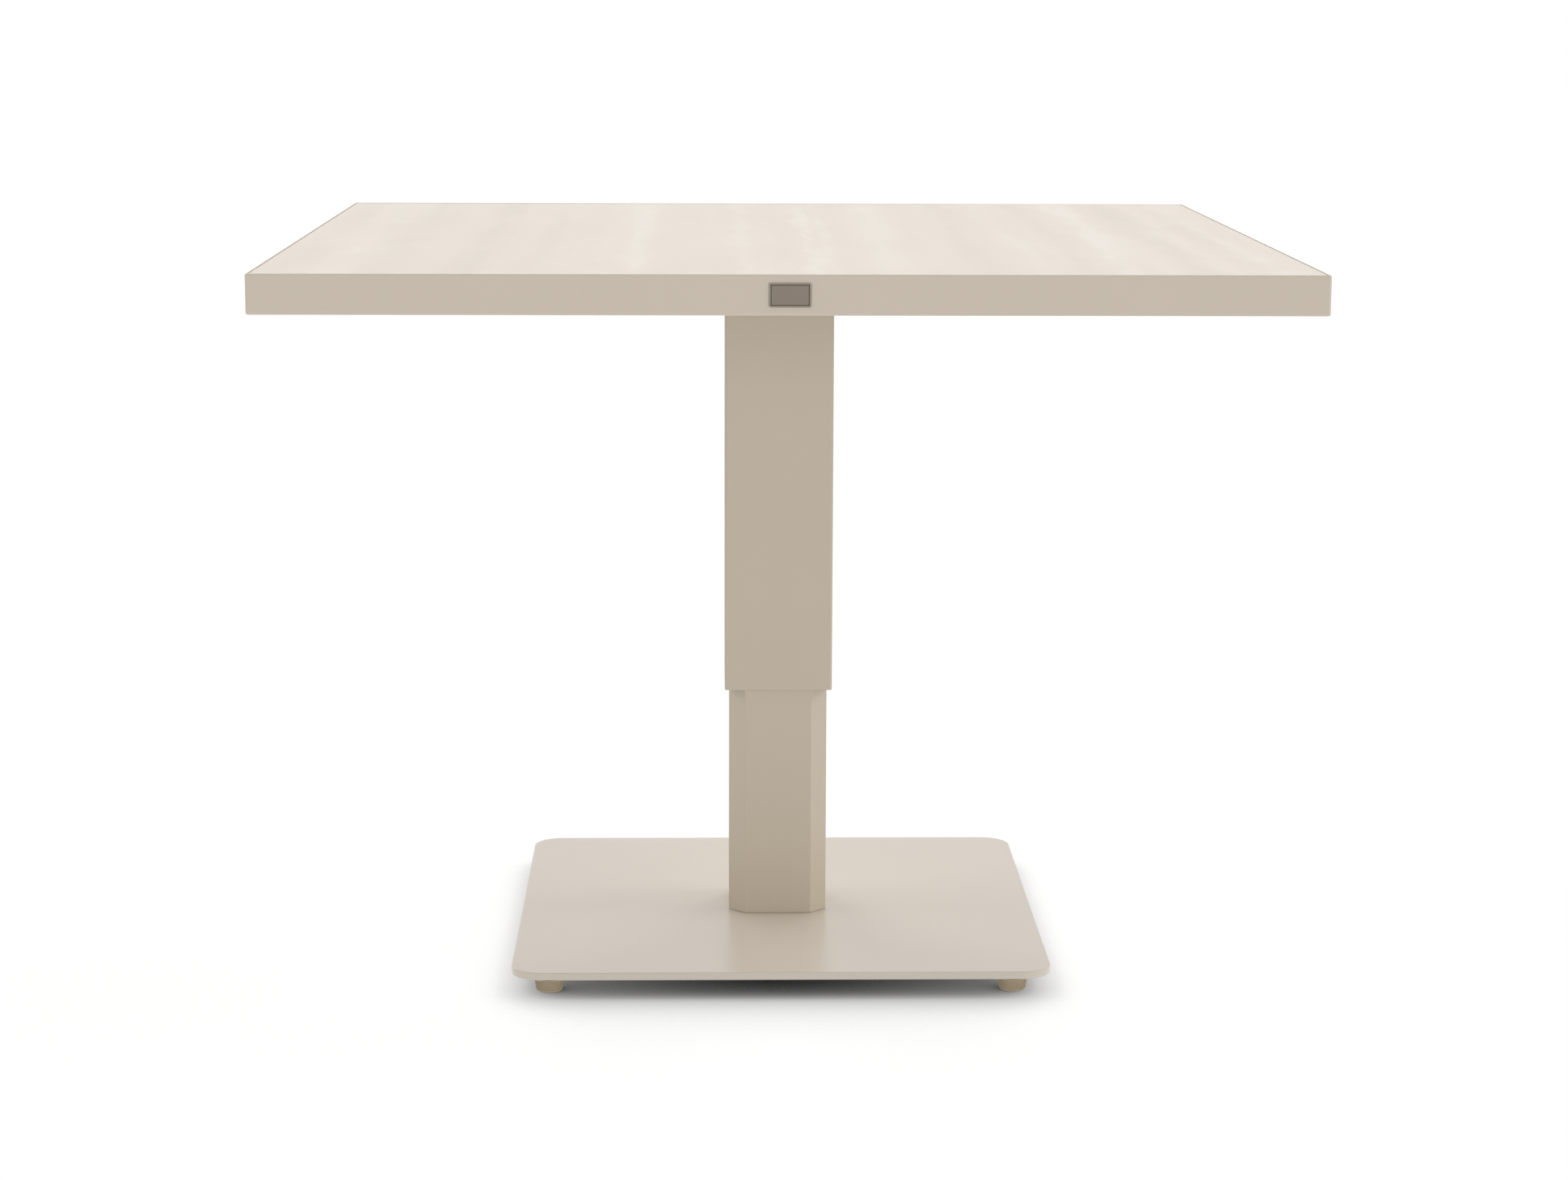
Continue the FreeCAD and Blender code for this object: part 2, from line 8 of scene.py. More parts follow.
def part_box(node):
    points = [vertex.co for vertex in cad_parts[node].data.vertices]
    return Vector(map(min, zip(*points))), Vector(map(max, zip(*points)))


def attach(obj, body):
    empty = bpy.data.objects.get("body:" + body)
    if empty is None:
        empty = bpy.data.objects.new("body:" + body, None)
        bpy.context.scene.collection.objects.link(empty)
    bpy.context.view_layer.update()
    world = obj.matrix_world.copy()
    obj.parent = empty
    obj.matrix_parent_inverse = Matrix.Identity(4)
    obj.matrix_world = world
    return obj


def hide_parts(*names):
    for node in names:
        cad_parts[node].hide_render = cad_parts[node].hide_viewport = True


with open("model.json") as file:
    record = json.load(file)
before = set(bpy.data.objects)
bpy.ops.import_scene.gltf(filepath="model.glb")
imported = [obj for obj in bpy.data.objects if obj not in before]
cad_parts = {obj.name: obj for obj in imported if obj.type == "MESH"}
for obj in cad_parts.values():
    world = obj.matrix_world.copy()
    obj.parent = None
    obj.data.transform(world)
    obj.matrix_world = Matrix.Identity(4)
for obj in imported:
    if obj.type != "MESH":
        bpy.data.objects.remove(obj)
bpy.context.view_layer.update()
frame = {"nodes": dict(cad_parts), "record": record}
nodes = frame["nodes"]
mm = 0.001  # sizes below are in millimetres
corners = {"front_left": (-1, -1), "front_right": (1, -1), "back_right": (1, 1),
           "back_left": (-1, 1)}
print("frame loaded:", len(nodes), "nodes")


# small tools for modelling

# heights, places and lines (mm), directions (cosines), and points taken as one (m)
nearEnough = {"height": 0.004, "place": 0.01, "line": 0.1, "parallel": 0.999, "level": 0.9,
              "across": 0.01, "samePoint": 0.000002}


def deselectAll():
    if bpy.context.object and bpy.context.object.mode != "OBJECT":
        bpy.ops.object.mode_set(mode="OBJECT")
    bpy.ops.object.select_all(action="DESELECT")


def useOnly(piece):
    deselectAll()
    piece.select_set(True)
    bpy.context.view_layer.objects.active = piece


def settle(piece):  # object at the origin, its place in its mesh
    useOnly(piece)
    bpy.ops.object.transform_apply(location=True, rotation=True, scale=True)


def boxOf(node):  # lowest and highest corner of a CAD node, in mm
    low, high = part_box(node)
    return [v / mm for v in low], [v / mm for v in high]


def addBlock(name, low, high):
    deselectAll()
    middle = [(a + b) / 2 * mm for a, b in zip(low, high)]
    bpy.ops.mesh.primitive_cube_add(size=1, location=middle)
    piece = bpy.context.object
    piece.name = piece.data.name = name
    piece.scale = [(b - a) * mm for a, b in zip(low, high)]
    settle(piece)
    return piece


def addRound(name, radius, bottom, top, sides, x=0, y=0, turn=0):
    deselectAll()
    bpy.ops.mesh.primitive_cylinder_add(
        vertices=sides, radius=radius * mm, depth=(top - bottom) * mm,
        location=(x * mm, y * mm, (top + bottom) / 2 * mm),
        rotation=(0, 0, math.radians(turn)), end_fill_type="NGON")
    piece = bpy.context.object
    piece.name = piece.data.name = name
    settle(piece)
    return piece


def middleOf(part):  # middle of a face or an edge, in mm
    return sum((v.co for v in part.verts), Vector()) / len(part.verts) / mm


def pick(piece, kind, wanted):  # edit mode, with only the wanted faces or edges selected
    useOnly(piece)
    bpy.ops.object.mode_set(mode="EDIT")
    bpy.ops.mesh.select_mode(type=kind)
    bpy.ops.mesh.select_all(action="DESELECT")
    shape = bmesh.from_edit_mesh(piece.data)
    for part in (shape.faces if kind == "FACE" else shape.edges):
        if wanted(part):
            part.select_set(True)
    shape.select_flush_mode()
    bmesh.update_edit_mesh(piece.data)


def done():
    bpy.ops.object.mode_set(mode="OBJECT")


def direction(edge):
    return (edge.verts[1].co - edge.verts[0].co).normalized()


def isUpright(edge):
    return abs(direction(edge).z) > nearEnough["parallel"]


def runsAlong(axis):
    return lambda edge: abs(direction(edge)[axis]) > nearEnough["parallel"]


def isLevelAt(z):
    return lambda part: all(abs(v.co.z / mm - z) < nearEnough["height"] for v in part.verts)


def standsAt(axis, place):  # all its points in one upright plane
    return lambda part: all(abs(v.co[axis] / mm - place) < nearEnough["place"] for v in part.verts)


def facesUpOrDown(face):
    return abs(face.normal.z) > nearEnough["level"]


def bevelEdges(piece, wanted, width, segments, profile=0.5):
    pick(piece, "EDGE", wanted)
    bpy.ops.mesh.bevel(offset=width * mm, segments=segments, profile=profile, affect="EDGES")
    done()


def cutAcross(piece, axis, place):  # a new ring of edges, all round the piece
    pick(piece, "FACE", lambda face: True)
    normal = [0, 0, 0]
    normal[axis] = 1
    bpy.ops.mesh.bisect(plane_co=[place * mm * n for n in normal], plane_no=normal)
    done()


def joinAll(name, pieces):
    deselectAll()
    for piece in pieces:
        piece.select_set(True)
    bpy.context.view_layer.objects.active = pieces[0]
    bpy.ops.object.join()
    pieces[0].name = pieces[0].data.name = name
    return pieces[0]


def copyOf(piece, name, move=(0, 0, 0), turn=0):  # with its own mesh, turned about Z and moved
    made = piece.copy()
    made.data = piece.data.copy()
    made.name = made.data.name = name
    bpy.context.scene.collection.objects.link(made)
    moved = Matrix.Translation([v * mm for v in move])
    made.data.transform(moved @ Matrix.Rotation(math.radians(turn), 4, "Z"))
    return made


def applyModifier(piece, kind, **settings):
    useOnly(piece)
    modifier = piece.modifiers.new(kind.lower(), kind)
    for name, value in settings.items():
        setattr(modifier, name, value)
    bpy.ops.object.modifier_apply(modifier=modifier.name)


def keepCommon(piece, other):  # what both shapes share
    applyModifier(piece, "BOOLEAN", operation="INTERSECT", solver="EXACT", object=other)
    bpy.data.objects.remove(other)


def openEnds(piece, ends, insideOut=False):  # ends taken off, and the wall turned for a bore
    pick(piece, "FACE", ends)
    bpy.ops.mesh.delete(type="ONLY_FACE")
    if insideOut:
        bpy.ops.mesh.select_all(action="SELECT")
        bpy.ops.mesh.flip_normals()
    done()


def closeRing(piece, z):  # a ring of faces between the two open loops at one height
    level = isLevelAt(z)
    pick(piece, "EDGE", lambda edge: level(edge) and len(edge.link_faces) == 1)
    bpy.ops.mesh.bridge_edge_loops()
    done()


def outwards(piece):  # doubled points merged and all faces turned outwards
    pick(piece, "FACE", lambda face: True)
    bpy.ops.mesh.remove_doubles(threshold=nearEnough["samePoint"])
    bpy.ops.mesh.normals_make_consistent(inside=False)
    done()


def bridgeWalls(name, outside, inside, heights):  # an outer wall and a bore made one
    piece = joinAll(name, [outside, inside])
    for z in heights:
        closeRing(piece, z)
    outwards(piece)
    return piece


def finishPiece(piece, body, slotName, *stoodFor, finish=None, angle=32, weighted=True):
    settle(piece)
    bpy.ops.object.shade_smooth_by_angle(angle=math.radians(angle))
    if weighted:  # flat faces stay flat beside their rounded edges
        applyModifier(piece, "WEIGHTED_NORMAL", keep_sharp=True, weight=80)
    piece.data.materials.clear()
    piece.data.materials.append(finishes[finish or slotName])
    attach(piece, body)
    if stoodFor:
        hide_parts(*stoodFor)


# small tools for materials

def putNode(tree, kind, **settings):  # small letters for its own settings, capitals for sockets
    made = tree.nodes.new(kind)
    for name, value in settings.items():
        if name.islower():
            setattr(made, name, value)
        else:
            made.inputs[name].default_value = value
    return made


def mathNode(tree, operation, first, second=None, third=None, clamp=False):
    made = tree.nodes.new("ShaderNodeMath")
    made.operation = operation
    made.use_clamp = clamp
    for socket, value in zip(made.inputs, (first, second, third)):
        if value is None:
            continue
        if isinstance(value, (int, float)):
            socket.default_value = value
        else:
            tree.links.new(value, socket)
    return made.outputs[0]


def times(tree, first, second):
    return mathNode(tree, "MULTIPLY", first, second)


def plus(tree, first, second, clamp=False):
    return mathNode(tree, "ADD", first, second, clamp=clamp)


def timesPlus(tree, value, gain, offset, clamp=False):
    return mathNode(tree, "MULTIPLY_ADD", value, gain, offset, clamp)


def newGroup(name, inputs, outputs):  # each socket a number, a place or a colour, by its value
    group = bpy.data.node_groups.new(name, "ShaderNodeTree")
    for side, sockets in (("INPUT", inputs), ("OUTPUT", outputs)):
        for label, value in sockets.items():
            size = len(value) if isinstance(value, tuple) else 1
            kind = {1: "NodeSocketFloat", 3: "NodeSocketVector", 4: "NodeSocketColor"}[size]
            socket = group.interface.new_socket(label, in_out=side, socket_type=kind)
            if side == "INPUT":
                socket.default_value = value
    return group, group.nodes.new("NodeGroupInput"), group.nodes.new("NodeGroupOutput")


def newFinish(name, colour, **settings):
    material = bpy.data.materials.new(name)
    material.use_nodes = True
    tree = material.node_tree
    shader = tree.nodes["Principled BSDF"]
    shader.inputs["Base Color"].default_value = toLinear(colour)
    for label, value in settings.items():
        shader.inputs[label].default_value = value
    finishes[name] = material
    material.diffuse_color = toLinear(colour)
    return tree, shader


def toLinear(colour):  # from 0-255 screen values, by the sRGB curve
    return [v / 255 / 12.92 if v <= 10 else ((v / 255 + 0.055) / 1.055) ** 2.4
            for v in colour] + [1.0]


def placeGroup(tree, group, values):
    made = tree.nodes.new("ShaderNodeGroup")
    made.node_tree = group
    for label, value in values.items():
        made.inputs[label].default_value = value
    return made


def addBump(tree, shader, height, strength, distance):
    bump = putNode(tree, "ShaderNodeBump", Strength=strength, Distance=distance)
    tree.links.new(height, bump.inputs["Height"])
    tree.links.new(bump.outputs["Normal"], shader.inputs["Normal"])


def mixColours(tree, factor, first, second):  # each colour a socket or screen values
    mix = putNode(tree, "ShaderNodeMix", data_type="RGBA", blend_type="MIX")
    tree.links.new(factor, mix.inputs[0])
    for socket, value in ((mix.inputs[6], first), (mix.inputs[7], second)):
        if isinstance(value, tuple):
            socket.default_value = toLinear(value)
        else:
            tree.links.new(value, socket)
    return mix.outputs[2]


def stretchedNoise(tree, vector, scale, detail, roughness, stretch=(1, 1, 1), shift=(0, 0, 0)):
    mapping = putNode(tree, "ShaderNodeMapping", Scale=stretch, Location=shift)
    tree.links.new(vector, mapping.inputs["Vector"])
    noise = putNode(tree, "ShaderNodeTexNoise", Scale=scale, Detail=detail, Roughness=roughness)
    tree.links.new(mapping.outputs["Vector"], noise.inputs["Vector"])
    return noise.outputs["Fac"]


def objectSpace(tree):
    return tree.nodes.new("ShaderNodeTexCoord").outputs["Object"]


finishes = {}


# shared effects

grey = (0.5, 0.5, 0.5, 1)


def newSkin(name, inputs):  # a group with the sockets that all skins have, and its own
    return newGroup(name, {"Colour": grey, **inputs},
                    {"Colour": grey, "Roughness": 0.0, "Height": 0.0})


def around(tree, value, middle=0.5):  # how far a value lies above or below its middle
    return mathNode(tree, "SUBTRACT", value, middle)


def shadeSkin(group, given, result, swing, depth):  # colour lighter and darker by the swing
    factor = timesPlus(group, swing, given.outputs[depth], 1.0)
    tint = putNode(group, "ShaderNodeVectorMath", operation="SCALE")
    group.links.new(given.outputs["Colour"], tint.inputs[0])
    group.links.new(factor, tint.inputs["Scale"])
    group.links.new(tint.outputs[0], result.inputs["Colour"])


def roughenSkin(group, given, result, swing, depth):
    rough = timesPlus(group, swing, depth, given.outputs["Roughness"])
    group.links.new(rough, result.inputs["Roughness"])


# fine orange peel, slow mottle and tiny grains of a powder coat; noises as scale, detail, roughness
powderPattern = {"mottle": (9.0, 2.0, 0.5), "grain": (2600.0, 1.0, 0.5), "peelDetail": 2.0,
                 "peelRoughness": 0.45, "grainShare": 0.7, "roughnessSwing": 0.05,
                 "grainHeight": 0.05}


def makePowderSkin():
    v = powderPattern
    group, given, result = newSkin(
        "powderSkin", {"Roughness": 0.4, "Peel Scale": 700.0, "Mottle": 0.03})
    links = group.links
    place = objectSpace(group)
    mottle = stretchedNoise(group, place, *v["mottle"])
    grain = stretchedNoise(group, place, *v["grain"])
    peel = putNode(group, "ShaderNodeTexNoise", Detail=v["peelDetail"],
                   Roughness=v["peelRoughness"])
    links.new(place, peel.inputs["Vector"])
    links.new(given.outputs["Peel Scale"], peel.inputs["Scale"])
    mottleSwing = around(group, mottle)
    grainSwing = times(group, around(group, grain), v["grainShare"])
    swing = plus(group, mottleSwing, grainSwing)
    shadeSkin(group, given, result, swing, "Mottle")
    roughenSkin(group, given, result, around(group, peel.outputs["Fac"]), v["roughnessSwing"])
    height = timesPlus(group, grain, v["grainHeight"], peel.outputs["Fac"])
    links.new(height, result.inputs["Height"])
    return group


# drawn or ground metal: long fine lines along one axis and a few broad ones
grainPattern = {"fine": {"Scale": 1900.0, "Detail": 3.0, "Roughness": 0.6},
                "broad": {"Scale": 260.0, "Detail": 2.0, "Roughness": 0.5},
                "fineShare": 0.6, "broadShare": 0.4, "roughnessSwing": 0.35}


def makeBrushedGrain():
    v = grainPattern
    group, given, result = newSkin(
        "brushedGrain", {"Roughness": 0.3, "Stretch": (1, 1, 1), "Depth": 0.1})
    links = group.links
    place = objectSpace(group)
    along = putNode(group, "ShaderNodeVectorMath", operation="MULTIPLY")
    links.new(place, along.inputs[0])
    links.new(given.outputs["Stretch"], along.inputs[1])
    fine = putNode(group, "ShaderNodeTexNoise", **v["fine"])
    broad = putNode(group, "ShaderNodeTexNoise", **v["broad"])
    for noise in (fine, broad):
        links.new(along.outputs[0], noise.inputs["Vector"])
    finePart = times(group, fine.outputs["Fac"], v["fineShare"])
    broadPart = times(group, broad.outputs["Fac"], v["broadShare"])
    both = plus(group, finePart, broadPart)
    swing = around(group, both)
    shadeSkin(group, given, result, swing, "Depth")
    roughenSkin(group, given, result, swing, v["roughnessSwing"])
    links.new(both, result.inputs["Height"])
    return group


# spark-eroded grain of a moulded part, with a slow change of shade
mouldPattern = {"smoothness": 0.6, "slow": (70.0, 3.0, 0.55), "pitMiddle": 0.4, "pitShare": 0.5,
                "roughnessSwing": 0.2}


def makeMouldSkin():
    v = mouldPattern
    group, given, result = newSkin(
        "mouldSkin", {"Roughness": 0.5, "Grain Scale": 1800.0, "Shade": 0.08})
    links = group.links
    place = objectSpace(group)
    pits = putNode(group, "ShaderNodeTexVoronoi", feature="SMOOTH_F1", Smoothness=v["smoothness"])
    links.new(place, pits.inputs["Vector"])
    links.new(given.outputs["Grain Scale"], pits.inputs["Scale"])
    slowSwing = around(group, stretchedNoise(group, place, *v["slow"]))
    pitSwing = around(group, pits.outputs["Distance"], v["pitMiddle"])
    swing = plus(group, slowSwing, times(group, pitSwing, v["pitShare"]))
    shadeSkin(group, given, result, swing, "Shade")
    roughenSkin(group, given, result, swing, v["roughnessSwing"])
    links.new(pits.outputs["Distance"], result.inputs["Height"])
    return group


# one vein that runs from front to back: a thin core in a soft band, broken up and wandering;
# noises as scale, detail, shift
veinPattern = {"sway": (1.8, 3.0, 0.0), "swell": (2.6, 1.0, 3.7), "band": (3.1, 2.0, 11.9),
               "core": (6.5, 3.0, 7.3), "roughness": 0.55, "swellGain": (1.6, 0.3),
               "bandGain": (2.2, -0.4), "coreGain": (3.0, -1.0), "bandBell": (1.9, 3.0),
               "coreBell": (0.6, 2.0)}


def makeStoneVein():
    v = veinPattern
    group, given, result = newGroup("stoneVein", {
        "Vector": (0, 0, 0), "Place": 0.0, "Slant": 0.0, "Width": 0.004, "Wander": 0.02,
        "Core": 0.5, "Strength": 1.0, "Seed": 0.0}, {"Mask": 0.0})
    links = group.links
    asked = given.outputs
    split = group.nodes.new("ShaderNodeSeparateXYZ")
    links.new(asked["Vector"], split.inputs[0])
    run = plus(group, split.outputs["Y"], asked["Seed"])

    def alongRun(scale, detail, shift):
        noise = putNode(group, "ShaderNodeTexNoise", noise_dimensions="1D", Scale=scale,
                        Detail=detail, Roughness=v["roughness"])
        links.new(plus(group, run, shift), noise.inputs["W"])
        return noise.outputs["Fac"]

    swayed = times(group, around(group, alongRun(*v["sway"])), asked["Wander"])
    slanted = timesPlus(group, split.outputs["Y"], asked["Slant"], asked["Place"])
    line = plus(group, swayed, slanted)
    swell = timesPlus(group, alongRun(*v["swell"]), *v["swellGain"])
    width = times(group, asked["Width"], swell)
    off = mathNode(group, "SUBTRACT", split.outputs["X"], line)

    def bell(share, power):  # a high power gives a flat middle and a quick edge
        reach = times(group, width, share)
        away = mathNode(group, "ABSOLUTE", mathNode(group, "DIVIDE", off, reach))
        fall = mathNode(group, "POWER", away, power)
        return mathNode(group, "EXPONENT", times(group, fall, -1.0))

    def broken(part):  # a band or core that comes and goes along the run
        shape = bell(*v[part + "Bell"])
        there = timesPlus(group, alongRun(*v[part]), *v[part + "Gain"], clamp=True)
        return times(group, shape, there)

    band = broken("band")
    core = broken("core")
    both = timesPlus(group, core, asked["Core"], band)
    links.new(times(group, both, asked["Strength"]), result.inputs["Mask"])
    return group


powderSkin = makePowderSkin()
brushedGrain = makeBrushedGrain()
mouldSkin = makeMouldSkin()
stoneVein = makeStoneVein()


# finishes

# bump is strength, and distance in metres; skin is given to the group, shine to the shader
powderCoat = {"group": powderSkin, "bump": (0.4, 0.00005), "shine": {"IOR": 1.55},
              "skin": {"Roughness": 0.3, "Peel Scale": 620.0, "Mottle": 0.035}}
steel = {"group": brushedGrain, "colour": (196, 198, 198), "bump": (0.25, 0.00003),
         "shine": {"Metallic": 1.0}}
plastic = {"group": mouldSkin, "bump": (0.3, 0.00004), "shine": {}}
skinFinishes = {
    "column_paint": {**powderCoat, "colour": (204, 192, 173)},
    # the column paint made lighter and whiter for the plate: painted light for the plate top's
    # brighter light
    "plate_paint_lit_copy": {**powderCoat, "colour": (213, 203, 190)},
    "frame_powder_coat": {**powderCoat, "colour": (211, 199, 183)},
    "zinc_steel": {**steel, "skin": {
        "Roughness": 0.34, "Stretch": (1.0, 0.12, 1.0), "Depth": 0.28}},
    "bar_steel": {**steel, "skin": {
        "Roughness": 0.32, "Stretch": (0.1, 1.0, 1.0), "Depth": 0.3}},
    "rod_chrome": {**steel, "colour": (214, 215, 217), "bump": (0.05, 0.00001), "skin": {
        "Roughness": 0.09, "Stretch": (1.0, 1.0, 0.03), "Depth": 0.08}},
    "cylinder_paint": {
        "group": powderSkin, "colour": (38, 38, 39), "bump": (0.25, 0.00005),
        "shine": {"IOR": 1.5},
        "skin": {"Roughness": 0.26, "Peel Scale": 420.0, "Mottle": 0.12}},
    "bare_aluminium": {
        "group": mouldSkin, "colour": (186, 187, 188), "bump": (0.5, 0.00012),
        "shine": {"Metallic": 1.0},
        "skin": {"Roughness": 0.42, "Grain Scale": 900.0, "Shade": 0.2}},
    "glide_plastic": {**plastic, "colour": (174, 159, 134), "skin": {
        "Roughness": 0.46, "Grain Scale": 1900.0, "Shade": 0.1}},
    "guide_plastic": {**plastic, "colour": (46, 46, 47), "skin": {
        "Roughness": 0.4, "Grain Scale": 1400.0, "Shade": 0.15}},
    "grip_plastic": {**plastic, "colour": (40, 40, 41), "bump": (0.5, 0.00007), "skin": {
        "Roughness": 0.52, "Grain Scale": 1100.0, "Shade": 0.2}},
    "pad_rubber": {**plastic, "colour": (205, 204, 198), "bump": (0.2, 0.00003), "skin": {
        "Roughness": 0.3, "Grain Scale": 600.0, "Shade": 0.08}},
}


def useSkin(name, v):
    tree, shader = newFinish(name, v["colour"], **v["shine"])
    skin = placeGroup(tree, v["group"], {"Colour": toLinear(v["colour"]), **v["skin"]})
    tree.links.new(skin.outputs["Colour"], shader.inputs["Base Color"])
    tree.links.new(skin.outputs["Roughness"], shader.inputs["Roughness"])
    addBump(tree, shader, skin.outputs["Height"], *v["bump"])
    return tree, shader


for finishName, finishValues in skinFinishes.items():
    useSkin(finishName, finishValues)


# line: the groove's colour darkened as painted shade; rim: the rim's colour lightened as painted
# highlight
badgeFinish = {"group": brushedGrain, "colour": (137, 127, 115), "line": (94, 84, 73),
               "rim": (158, 149, 136), "bump": (0.2, 0.00002), "shine": {"Metallic": 0.85},
               "skin": {"Roughness": 0.38, "Stretch": (0.06, 1.0, 1.0), "Depth": 0.22},
               "paintedShadeGrooveFrom": 0.3, "paintedHighlightRimWidth": 1.9}


def makeBadgeFinish():
    v = badgeFinish
    tree, shader = useSkin("badge_metal", v)
    # painted highlight: the rim lighter, by its place; painted shade: the groove darker, by how far
    # back it lies
    low, high = boxOf("badge_plate")
    split = tree.nodes.new("ShaderNodeSeparateXYZ")
    tree.links.new(objectSpace(tree), split.inputs[0])
    deep = mathNode(tree, "GREATER_THAN", split.outputs["Y"], (low[1] + v["paintedShadeGrooveFrom"]) * mm)
    middle = (low[2] + high[2]) / 2 * mm
    tall = mathNode(tree, "ABSOLUTE", mathNode(tree, "SUBTRACT", split.outputs["Z"], middle))
    wide = mathNode(tree, "ABSOLUTE", split.outputs["X"])
    inset = v["paintedHighlightRimWidth"] * mm
    halfHeight = (high[2] - low[2]) / 2 * mm
    outside = mathNode(tree, "MAXIMUM",
                       mathNode(tree, "GREATER_THAN", wide, high[0] * mm - inset),
                       mathNode(tree, "GREATER_THAN", tall, halfHeight - inset))
    skin = shader.inputs["Base Color"].links[0].from_socket
    withPaintedRimHighlight = mixColours(tree, outside, skin, v["rim"])
    tree.links.new(mixColours(tree, deep, withPaintedRimHighlight, v["line"]), shader.inputs["Base Color"])


makeBadgeFinish()


stone = {
    "colour": (229, 219.5, 208), "light": (243, 236, 227), "dark": (214, 206, 194),
    "backing": (150, 146, 138), "lightShare": 0.45, "darkShare": 0.42,
    "roughness": 0.5, "roughnessSwing": 0.1, "backingRougher": 0.3, "bump": (0.25, 0.00006),
    # noises: scale, detail, roughness, stretch, shift
    "tearNoise": (42.0, 4.0, 0.62, (1.0, 0.3, 1.0), (0, 5.0, 0)),
    "broadNoise": (24.0, 3.0, 0.5, (1.0, 0.12, 1.0)),
    "fineNoise": (80.0, 4.0, 0.6, (1.0, 0.07, 1.0), (3.0, 0, 0)),
    "grainNoise": (900.0, 2.0, 0.6),
    # how far the veins' edges are torn sideways, in metres
    "tear": 0.03,
    "fleckScale": 26.0, "fleckStretch": (1.0, 0.3, 1.0), "fleckFall": 14.0, "fleckWhere": 0.57,
    # gain and offset that make a mask or a shade of a noise
    "lightClouds": (1.8, -0.95), "darkClouds": (-1.8, 0.82), "darkStreaks": (1.6, -0.86),
    "grainShade": (0.03, 0.985), "grainHeight": 0.5, "weaveScale": 400.0,
    # how far above the underside the backing ends, in mm
    "backingDepth": 0.05,
    # what each vein gives; place and half width in metres
    "veinInputs": ("Place", "Slant", "Width", "Core", "Strength", "Seed"),
    "lightVeins": [(-0.425, 0.0, 0.016, 0.2, 0.5, 1.1), (-0.145, 0.0, 0.008, 0.6, 0.9, 3.2),
                   (-0.175, 0.02, 0.006, 0.3, 0.4, 4.1), (-0.04, 0.0, 0.006, 0.5, 0.6, 4.7),
                   (0.028, 0.0, 0.005, 0.9, 0.8, 5.1), (0.045, 0.006, 0.004, 0.8, 0.5, 21.4),
                   (0.105, 0.006, 0.013, 0.2, 0.6, 6.6), (0.24, -0.004, 0.007, 0.4, 0.4, 7.9),
                   (0.33, 0.02, 0.008, 0.9, 0.8, 8.4), (0.345, -0.03, 0.01, 0.3, 0.5, 18.2),
                   (0.46, 0.0, 0.008, 0.7, 0.8, 9.2), (0.415, 0.01, 0.006, 0.4, 0.5, 10.6)],
    "darkVeins": [(-0.305, 0.004, 0.009, 0.5, 1.0, 11.0), (-0.385, 0.0, 0.013, 0.2, 0.7, 12.5),
                  (-0.24, 0.0, 0.007, 0.4, 0.6, 13.1), (-0.47, 0.0, 0.012, 0.2, 0.6, 17.3),
                  (0.19, 0.0, 0.007, 0.4, 0.6, 14.9), (0.285, 0.008, 0.006, 0.4, 0.5, 15.3),
                  (0.39, 0.0, 0.011, 0.4, 0.7, 16.7), (0.448, 0.0, 0.009, 0.2, 0.5, 19.8)],
}


def tearSideways(tree, place):  # tears the veins' edges a little to either side
    tear = stretchedNoise(tree, place, *stone["tearNoise"])
    sideways = tree.nodes.new("ShaderNodeCombineXYZ")
    tree.links.new(times(tree, around(tree, tear), stone["tear"]), sideways.inputs["X"])
    ragged = putNode(tree, "ShaderNodeVectorMath", operation="ADD")
    tree.links.new(place, ragged.inputs[0])
    tree.links.new(sideways.outputs[0], ragged.inputs[1])
    return ragged.outputs[0]


def makeFlecks(tree, place, fine):
    flecks = putNode(tree, "ShaderNodeTexVoronoi", feature="F1", Scale=stone["fleckScale"])
    drawnOut = putNode(tree, "ShaderNodeMapping", Scale=stone["fleckStretch"])
    tree.links.new(place, drawnOut.inputs["Vector"])
    tree.links.new(drawnOut.outputs["Vector"], flecks.inputs["Vector"])
    away = times(tree, flecks.outputs["Distance"], stone["fleckFall"])
    fleck = mathNode(tree, "SUBTRACT", 1.0, away, clamp=True)
    where = mathNode(tree, "GREATER_THAN", fine, stone["fleckWhere"])
    return times(tree, fleck, where)


def sumOfVeins(tree, place, veins):
    total = None
    for values in veins:
        vein = placeGroup(tree, stoneVein, dict(zip(stone["veinInputs"], values)))
        tree.links.new(place, vein.inputs["Vector"])
        mask = vein.outputs["Mask"]
        total = mask if total is None else plus(tree, total, mask)
    return total


def makeStoneColour(tree, place, ragged, broad, fine, grain):
    v = stone
    fleck = makeFlecks(tree, place, fine)
    veins = sumOfVeins(tree, ragged, v["lightVeins"])
    clouds = timesPlus(tree, broad, *v["lightClouds"], clamp=True)
    lightMask = plus(tree, veins, clouds, clamp=True)
    veins = sumOfVeins(tree, ragged, v["darkVeins"])
    clouds = timesPlus(tree, broad, *v["darkClouds"], clamp=True)
    streaks = timesPlus(tree, fine, *v["darkStreaks"], clamp=True)
    darkMask = plus(tree, veins, plus(tree, clouds, streaks))
    darkMask = plus(tree, darkMask, fleck, clamp=True)
    lightPart = times(tree, lightMask, v["lightShare"])
    withLight = mixColours(tree, lightPart, v["colour"], v["light"])
    darkPart = times(tree, darkMask, v["darkShare"])
    withDark = mixColours(tree, darkPart, withLight, v["dark"])
    grained = putNode(tree, "ShaderNodeVectorMath", operation="SCALE")
    tree.links.new(withDark, grained.inputs[0])
    tree.links.new(timesPlus(tree, grain, *v["grainShade"]), grained.inputs["Scale"])
    return grained.outputs[0]


